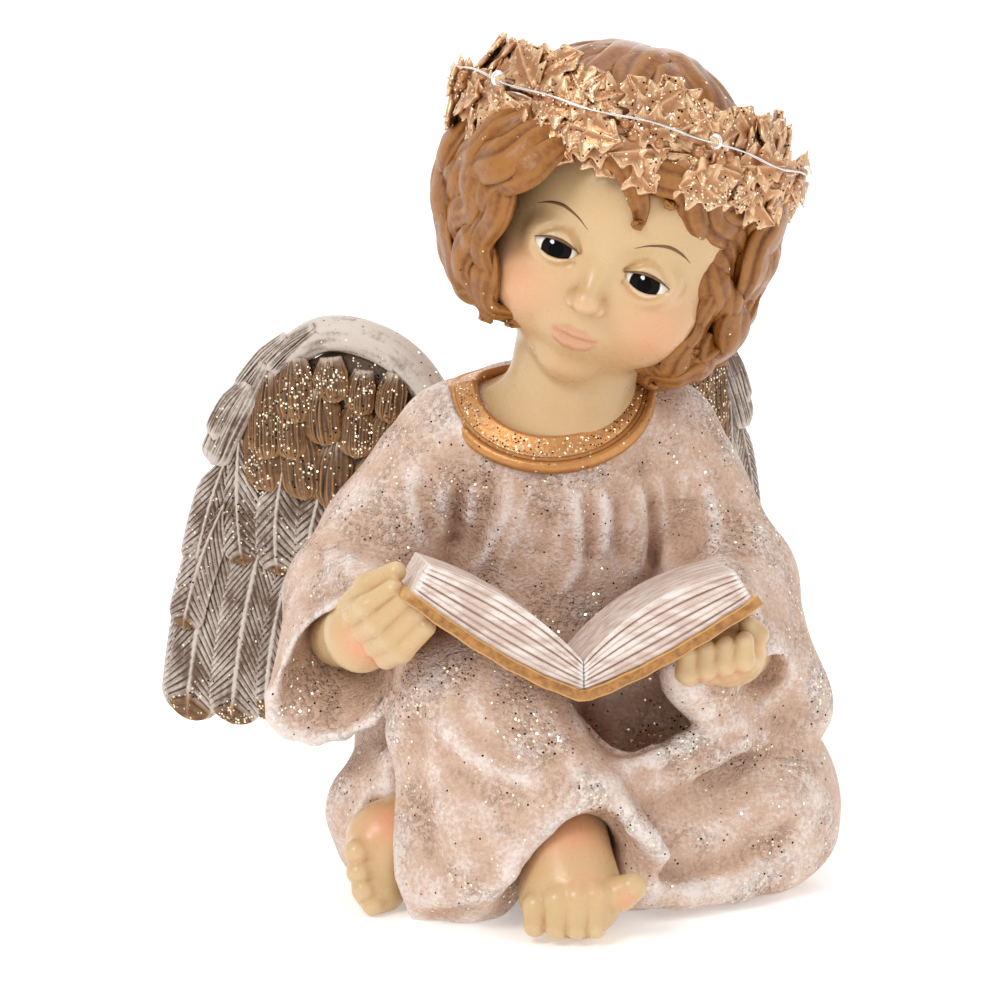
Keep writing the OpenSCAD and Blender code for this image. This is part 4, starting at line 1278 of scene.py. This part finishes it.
def holly_leaf(size, width):
    """Pointed lobed leaf along +X, folded on its midrib, with raised veins."""
    t = np.linspace(0, 1, 33)[:, None]
    lobe = np.abs(np.cos(math.pi * 3.5 * t + 0.2)) ** 2.2
    w = (np.sin(math.pi * np.clip(t, 0, 1) ** 0.85) ** 0.75 * (0.6 + 0.5 * lobe)) + 0.05
    across = np.array([-1, -.86, -.66, -.44, -.22, -.09, 0, .09, .22, .44, .66, .86, 1])
    x = t * size + 0.1 * size * lobe * np.abs(across) ** 2 * (1 - t)
    y = w * across * width / 2
    curl = rng.uniform(-0.05, 0.12)
    fold = 0.2 * np.abs(y) - (0.1 + curl) * x**2 / size - 0.35 * np.abs(across) ** 4
    rib = np.abs(((3.5 * t - 0.95 * np.abs(across) + 0.56) % 1) - 0.5) * 2
    vein = 0.55 * np.exp(-(across / 0.12) ** 2) + 0.42 * (rib**4 - 0.3) * np.abs(across) ** 0.5
    top = np.stack([x, y, fold + vein + 0.6], -1)
    low = np.stack([x, y * 0.94, fold - 0.5 + 0 * vein], -1)[:, ::-1]
    return np.concatenate([top, low[:, 1:-1]], 1)


def placed_leaf(rings, foot, along, up):
    along = unit(along)
    side = unit(np.cross(up, along))
    up = np.cross(along, side)
    axes = np.stack([along, side, up], -1)
    verts, quads = loft(rings)
    return on_wreath(foot + verts @ axes.T), quads[:, ::-1]


def make_wreath():
    angle = np.linspace(0, 2 * math.pi, 140)
    twigs = []
    for k in range(3):
        r = 32.6 + 1.3 * np.cos(angle * 7 + 2.1 * k)
        z = 1.5 + 1.3 * np.sin(angle * 7 + 2.1 * k)
        path = np.stack([r * np.cos(angle), r * np.sin(angle), z], -1)
        twigs.append(tube(on_wreath(path), 1.15, WREATH_AXES[:, 2], 10, 1, lambda a,
                          t: 1 + 0.12 * np.cos(4 * a + 60 * t)))
    mesh = merge(twigs)
    add_piece("twig_ring", mesh, GOLD, ("wreath_ring",),
              {"wear_and_shade": relief(*mesh, 4, 0.4)})
    leaves = []
    for count, foot_r, foot_z, along_part, up_part, out_part, size in (
            (23, 33.2, 4.0, 0.75, 0.75, -0.16, 13.5), (23, 34.0, 0.0, 0.85, -0.55, 0.16, 13),
            (19, 35.4, 2.0, 1.0, 0.12, 0.10, 13), (20, 33.0, 5.0, -0.65, 0.75, -0.2, 13),
            (19, 35.0, 1.5, -0.9, -0.4, 0.12, 13)):
        for i in range(count):
            a = 2 * math.pi * (i + rng.uniform(-0.3, 0.3)) / count
            out = np.array([math.cos(a), math.sin(a), 0])
            run = np.array([-math.sin(a), math.cos(a), 0])
            up = np.array([0, 0, 1.0])
            foot = out * (foot_r + rng.uniform(-0.6, 0.6)) + up * (foot_z + rng.uniform(-1, 1))
            along = run * along_part + up * (up_part + rng.uniform(-0.25, 0.25))
            along += out * (out_part + rng.uniform(-0.1, 0.15))
            face = out + up * rng.uniform(-0.1, 0.35) * np.sign(up_part)
            face += run * rng.uniform(-0.2, 0.2)
            leaf_size = size * rng.uniform(0.85, 1.12)
            leaves.append(placed_leaf(holly_leaf(leaf_size, leaf_size * 0.8), foot, along, face))
    mesh = merge(leaves)
    # openness paints shade into this layer: leaves are darker where other leaves and the twigs hem
    # them in.
    add_piece("leaves", mesh, GOLD, ("wreath_leaves",),
              {"wear_and_shade": 0.6 * relief(*mesh, 4, 0.5) + 0.4 * openness(*mesh, 4)})
    berries = []
    for i in range(30):
        a = 2 * math.pi * i / 30 + rng.uniform(-0.08, 0.08)
        for _ in range(2):
            r, z = rng.uniform(36.6, 38.0), rng.uniform(1, 6)
            mid = on_wreath(((r * math.cos(a)), r * math.sin(a), z))
            a += 0.06
            berries.append(bead(mid, rng.uniform(1.1, 1.6)))
    mesh = merge(berries)
    add_piece("berries", mesh, GOLD, ("wreath_berries",),
              {"wear_and_shade": np.full(len(mesh[0]), 0.6)})
    make_lights()


def bead(middle, radius, rows=10, sides=14, stretch=(1, 1, 1)):
    return loft(globe(rows, sides) * radius * stretch + middle)


def wire_run(offset):
    a = np.linspace(math.radians(-205), math.radians(35), WIRE_STEPS)
    r = 39.2 + 0.3 * np.sin(a * 9 + offset) + 0.15 * np.sin(a * 23 + 2 * offset)
    z = 5.4 + 0.5 * np.sin(a * 4 + 0.6) + 0.3 * np.sin(a * 11 + 3 * offset)
    return on_wreath(np.stack([r * np.cos(a), r * np.sin(a), z], -1))


def make_lights():
    metal = Paint("wire_metal", Metallic=1.0, Roughness=0.25)
    metal.set("Base Color", metal.mix(metal.noise(2), (0.82, 0.82, 0.84), (0.68, 0.68, 0.7)))
    mesh = merge([tube(wire_run(k), WIRE_R, WREATH_AXES[:, 2], 8) for k in (0.0, 1.9)])
    add_piece("twin_wire", mesh, metal.material, ("led_wire",))
    lens = Paint("led_lens", Roughness=0.06, IOR=1.45)
    lens.set("Transmission Weight", 0.85)
    lens.set("Base Color", lens.mix(lens.noise(2), (0.97, 0.96, 0.9), (0.92, 0.92, 0.88)))
    chip = Paint("led_chip", Roughness=0.5)
    chip.set("Base Color", chip.mix(chip.noise(0.8), rgb("F2D53C"), rgb("D8B020")))
    drops, chips = [], []
    run = wire_run(0.9)
    for k in DROP_STEPS:
        drops.append(bead(run[k], 1.5, 12, 16, (1, 1, 1.15)))
        chips.append(bead(run[k], 0.65, 6, 8))
    add_piece("light_drops", merge(drops), lens.material, ("led_drops",))
    add_piece("light_chips", merge(chips), chip.material, ("led_chips",))


make_wreath()

# ---- wings ----

WING_TURN, WING_SWEEP = math.radians(20), math.radians(36)
WING_ROOT = {-1: np.array([8.4 - 12.8 * math.cos(WING_TURN), 30 - 12.8 * math.sin(WING_TURN), 0]),
             1: np.array([8.4 + 12.8 * math.cos(WING_TURN), 30 + 12.8 * math.sin(WING_TURN), 0])}

# Feather rows, each feather: root s, root height, tip s, tip height, width
LONG = [(57, 78, 70, 20.5, 12.5), (49, 72, 59.5, 20.5, 12), (41, 68, 51, 22, 11),
        (33, 64, 43, 25, 10),
        (24, 60, 34, 30, 10), (16, 60, 26, 37, 9.5), (8, 62, 18, 46, 9.5)]
EDGE = [(59, 84, 67.5, 56, 8), (60, 72, 70, 42, 8), (56, 88, 56, 58, 9), (46, 80, 47, 56, 9.5),
        (37, 78, 40, 55, 9.5), (27, 76, 31, 54, 9.5), (18, 75, 22, 55, 9), (9, 74, 13, 58, 9)]
MIDDLE = [(51, 92, 49, 75, 9.5), (42, 90, 41, 74, 9), (33, 88, 34, 72, 9), (23, 86, 25, 71, 9),
          (14, 84, 16, 71, 8.5),
          (5, 83, 8, 72, 8)]
UPPER = [(49, 102, 50, 82, 7.5), (36, 99, 35.5, 86, 8), (28, 97, 29, 84, 7.5),
         (44, 98, 43.5, 83, 7.5),
         (20, 96, 21, 83, 8), (12, 95, 13.5, 82, 7.5), (5, 92, 7, 81, 7)]
TOP = [(43.5, 106, 42, 90.5, 9), (34, 106, 33, 96, 7.5), (27, 104, 28, 93.5, 6.5),
       (20, 103, 21, 92, 6.5), (12, 101, 13.5, 90, 6.5)]
SHOULDER = [(50, 104, 63, 80.5, 7), (54, 100, 62, 86, 5.5), (44, 110, 56, 97, 5),
            (38, 113, 49, 103, 4.5)]
ARM = [(4, 82, 3.6), (9, 94, 3.8), (15, 103, 4.0), (22, 108.5, 4.2), (30, 111, 4.2),
       (38, 110.5, 4.1),
       (46, 105.5, 3.7), (53, 98.5, 2.8), (58, 92, 1.6)]


BARB = np.array([0.3, 0.8, 0.9, 0.6, -1.2])


def feather(root, tip, width, bow, low, high, barbed):
    """Closed feather from root to tip (s, height), cut with slanting barbs or with strands."""
    root, tip = np.array(root, float), np.array(tip, float)
    size = np.linalg.norm(tip - root)
    count = int(np.clip(size / (0.45 if barbed else 0.7), 18, 130))
    along = (tip - root) / size
    across = np.linspace(-1, 1, 21 if barbed else 31)
    x = np.abs(across)
    lean = min(width, 0.28 * size) / size if barbed else 0.0
    base_t = np.linspace(0, 1, count)[:, None]
    t = base_t + lean * x * (1 - base_t**3)
    side = np.array([-along[1], along[0]])
    path = root + t[..., None] * (tip - root) + (bow * np.sin(np.pi * t))[..., None] * side
    blunt = np.clip((t - 1 + 0.45 * width / size) / (0.45 * width / size), 0, 1)
    half = width / 2 * np.minimum(1, 0.6 + 1.1 * t) * np.sqrt(np.clip(1 - blunt**2.2, 0.0015, 1))
    if barbed:
        cut = BARB[(np.arange(count)[:, None] + 2 * (across > 0)) % len(BARB)]
        cut = cut * rng.uniform(0.5, 1.2, (count, 1))
        grain = (0.24 * cut * np.clip(x * 4, 0, 1) * (1 - 0.4 * x)
                 + 0.5 * np.exp(-(across / 0.09) ** 2))
    else:
        grain = 0.22 * np.interp(across * 1.5, np.linspace(-1.5, 1.5, 31), rng.uniform(-1.3, 1, 31))
        grain = (grain * np.clip(0.4 + t, 0, 1)
                 - 0.3 * np.exp(-((np.abs(across) - 0.45 * t) / 0.07) ** 2))
    crown = ((1.0 if barbed else 1.5) * (1 - x**2) * np.clip(1.25 - 0.6 * blunt, 0, 1)
             - 0.5 * blunt**2)
    base = low + (high - low) * t
    top = base + crown + grain * (1 - 0.7 * blunt)
    flat = path + (half * across)[..., None] * side
    upper = np.dstack([flat, top])
    lower = np.dstack([flat, base - 1.1 + 0 * top])[:, -2:0:-1]
    return np.concatenate([upper, lower], 1), np.repeat(base_t[:, 0], 2 * len(across) - 2)


def wing_place(side, points):
    """(s along the wing, height, distance out of its front face) to the figure's frame."""
    turn = WING_TURN + side * WING_SWEEP
    out = side * np.array([math.cos(turn), math.sin(turn), 0])
    normal = np.array([math.sin(turn), -math.cos(turn), 0])
    p = np.asarray(points, float)
    return WING_ROOT[side] + p[..., :1] * out + p[..., 1:2] * (0, 0, 1) + p[..., 2:] * normal


def wing_mesh(side):
    parts, tips = [], []
    for face in (1, -1):
        rows = [(LONG, 0.1, 0.5, 2.0, True, 0), (EDGE, 1.0, 1.6, 1.0, True, 0.35),
                (MIDDLE, 1.2, 2.3, 0.6, False, 0.9),
                (UPPER, 1.6, 2.8, 0.5, False, 1.0), (TOP, 1.8, 3.1, 0.4, False, 1.0),
                (SHOULDER, 2.4, 2.4, 0.8, False, 0.1)]
        for level, (row, low, high, bow, barbed, gilt) in enumerate(rows):
            for i, (s0, h0, s1, h1, width) in enumerate(row):
                jitter = rng.uniform(-0.7, 0.7, 4)
                lift = 0.35 * (i % 2)
                rings, t = feather((s0 + jitter[0], h0 + jitter[1]),
                                   (s1 + jitter[2] * 0.6, h1 + jitter[3] * 0.6),
                                   width * 1.1, bow * rng.uniform(0.6, 1.2), low + lift,
                                   high + lift, barbed)
                rings[..., 2] *= face
                verts, quads = loft(rings)
                if face * side > 0:
                    quads = quads[:, ::-1]
                parts.append((wing_place(side, verts), quads))
                tips.append(np.maximum(gilt * np.clip(0.4 + t, 0, 1),
                                       0.8 * np.clip((t - 0.82) / 0.12, 0, 1) * (level < 2)))
    arm = np.array(ARM, float)
    path = smooth_path(np.column_stack([arm[:, :2], 0 * arm[:, 0]]), 70)
    radius = np.interp(np.linspace(0, 1, 70), np.linspace(0, 1, len(arm)), arm[:, 2])
    verts, quads = tube(wing_place(side, path), radius,
                        wing_place(side, (0, 0, 1.0)) - wing_place(side, (0, 0, 0)),
                        28, 0.95, lambda a, t: 1 + 0.012 * np.cos(13 * a + 18 * t)
                        + 0.02 * np.cos(5 * a - 30 * t))
    parts.append((verts, quads))
    tips.append(np.zeros(len(verts)))
    core_low = [(-8, 64), (0, 62), (8, 60), (16, 58), (26, 56), (36, 54), (46, 54), (56, 58),
                (62, 66)]
    core_high = [(-8, 86), (0, 86), (8, 96), (16, 104), (26, 108), (36, 107), (46, 100), (56, 88),
                 (61, 76)]
    rings = []
    for a, b in zip(smooth_path(np.column_stack([core_low, np.zeros(9)]), 30),
                    smooth_path(np.column_stack([core_high, np.zeros(9)]), 30)):
        h = np.linspace(0, 1, 8)[:, None]
        line = a + (b - a) * h
        thick = 0.5 + 1.0 * np.sin(np.pi * (0.12 + 0.76 * h))
        front, back = line + thick * (0, 0, 1), line - thick * (0, 0, 1)
        rings.append(np.vstack([front, back[::-1]]))
    verts, quads = loft(np.array(rings))
    parts.append((wing_place(side, verts), quads if side < 0 else quads[:, ::-1]))
    root = np.clip((np.repeat(np.linspace(-8, 62, 30), 16) - 4) / 8, 0, 1)
    tips.append(0.9 * root)
    shade = np.ones(sum(len(v) for v, _ in parts))
    shade[-len(verts):] = 1 - 0.38 * root
    return merge(parts), np.hstack(tips), shade


def wing_paint():
    p = Paint("wing_resin")
    wear_and_shade = p.layer("wear_and_shade")
    tips = p.layer("tips")
    patch, fine = p.noise(8, 3), p.noise(0.9, 4, 0.65)
    w = p.vary(wear_and_shade, fine, 0.3)
    # Darkest where the layer is low: in the barb cuts, and as painted shade between overlapping
    # feathers.
    colour = p.mix(p.ramp(w, 0.64, 0.38), rgb("6C5343"), rgb("2E1D14"))
    colour = p.mix(p.ramp(p.vary(w, patch, 0.6), 0.6, 0.84, 0, 0.92), colour, rgb("D6CABF"))
    gold = p.mix(p.ramp(w, 0.7, 0.45), rgb("74502E"), rgb("2C1A0F"))
    gold = p.mix(p.ramp(w, 0.7, 0.92), gold, rgb("B08355"))
    on_tip = p.ramp(p.vary(tips, patch, 0.5), 0.35, 0.65)
    colour = p.mix(on_tip, colour, gold)
    share = p.math("MULTIPLY", p.ramp(p.noise(10, 2), 0.4, 0.62, 0.12, 0.75),
                   p.ramp(tips, 0.1, 0.8, 0.1, 1))
    p.sprinkle(colour, p.bump(fine, 0.2), 0.5, 0.62, share, metal=0.1)
    return p.material


WING = wing_paint()
for side, name in ((-1, "right_wing"), (1, "left_wing")):
    mesh, tips, shade = wing_mesh(side)
    # openness paints shade into this layer between overlapping feathers, and shade darkens the core
    # plate away from its root.
    wear_and_shade = ((0.4 * relief(*mesh, 3, 0.35) + 0.3 * relief(*mesh, 16, 1.2) + 0.3 * openness(*mesh, 4))
            * shade)
    add_piece(name + "_feathers", mesh, WING, (name,), {"wear_and_shade": wear_and_shade, "tips": tips})

# ---- finishes of the CAD pieces that stay ----


def moulded(name, a, b, rough, metal=0.0):
    """Plain moulded or drawn stock: two close tones, lightly uneven."""
    p = Paint(name, Metallic=metal)
    p.finish(p.mix(p.noise(7.2, 3), a, b),
             p.ramp(p.noise(1.2, 3), 0.3, 0.7, rough - 0.06, rough + 0.08),
             p.bump(p.noise(0.6, 3), 0.03))
    return p.material


CAD_FINISH = {
    "base_plate": moulded("base_plastic", rgb("E9E5DB"), rgb("DEDACF"), 0.5),
    "battery_box": moulded("box_plastic", rgb("E6E2D8"), rgb("DCD7CC"), 0.45),
    "battery_door": moulded("door_plastic", rgb("ECE8DF"), rgb("E2DDD2"), 0.38),
    "aaa_cells": moulded("cell_jacket", rgb("33373C"), rgb("4A5058"), 0.28, 0.3),
    "spring_contacts": moulded("spring_steel", (0.62, 0.62, 0.62), (0.75, 0.75, 0.74), 0.25, 1.0),
    "plate_contacts": moulded("contact_metal", (0.66, 0.65, 0.62), (0.76, 0.75, 0.72), 0.28, 1.0),
    "circuit_board": moulded("board_green", rgb("1F5B33"), rgb("2C7040"), 0.4),
    "switch_body": moulded("switch_black", rgb("1E1F21"), rgb("2A2B2E"), 0.42),
    "switch_knob": moulded("knob_black", rgb("161718"), rgb("242527"), 0.36),
    "lead_wires": moulded("lead_insulation", rgb("D9D4C8"), rgb("C8C2B4"), 0.4),
    "wing_pins": moulded("pin_steel", (0.55, 0.55, 0.56), (0.68, 0.68, 0.69), 0.3, 1.0),
}
for node, material in CAD_FINISH.items():
    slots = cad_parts[node].data.materials
    if not slots:
        slots.append(material)
    for i in range(len(slots)):
        slots[i] = material

# ---- floor and world ----


def add_floor():
    data = bpy.data.meshes.new("floor")
    angle = np.linspace(0, math.pi / 2, 17)
    bend = ([(-3, 0)] + [(0.9 + 0.9 * math.sin(a), 0.9 - 0.9 * math.cos(a)) for a in angle]
            + [(1.8, 3)])
    verts = [(x, y, z) for y, z in bend for x in (-3, 3)]
    data.from_pydata(verts, [], [(i, i + 1, i + 3, i + 2) for i in range(0, 2 * len(bend) - 2, 2)])
    data.polygons.foreach_set("use_smooth", [True] * len(data.polygons))
    p = Paint("floor", Roughness=0.7, Emission_Color=(1, 1, 1, 1), Emission_Strength=0.3)
    p.set("Base Color", p.mix(p.noise(60, 2), (0.9, 0.9, 0.9), (0.92, 0.92, 0.915)))
    data.materials.append(p.material)
    floor = bpy.data.objects.new("floor", data)
    bpy.context.scene.collection.objects.link(floor)
    floor.location.z = -0.0002
    world = bpy.data.worlds.new("studio")
    world.use_nodes = True
    world.node_tree.nodes["Background"].inputs[0].default_value = (1, 1, 1, 1)
    world.node_tree.nodes["Background"].inputs[1].default_value = 0.72
    bpy.context.scene.world = world
    bpy.context.scene.view_settings.view_transform = "Standard"


add_floor()
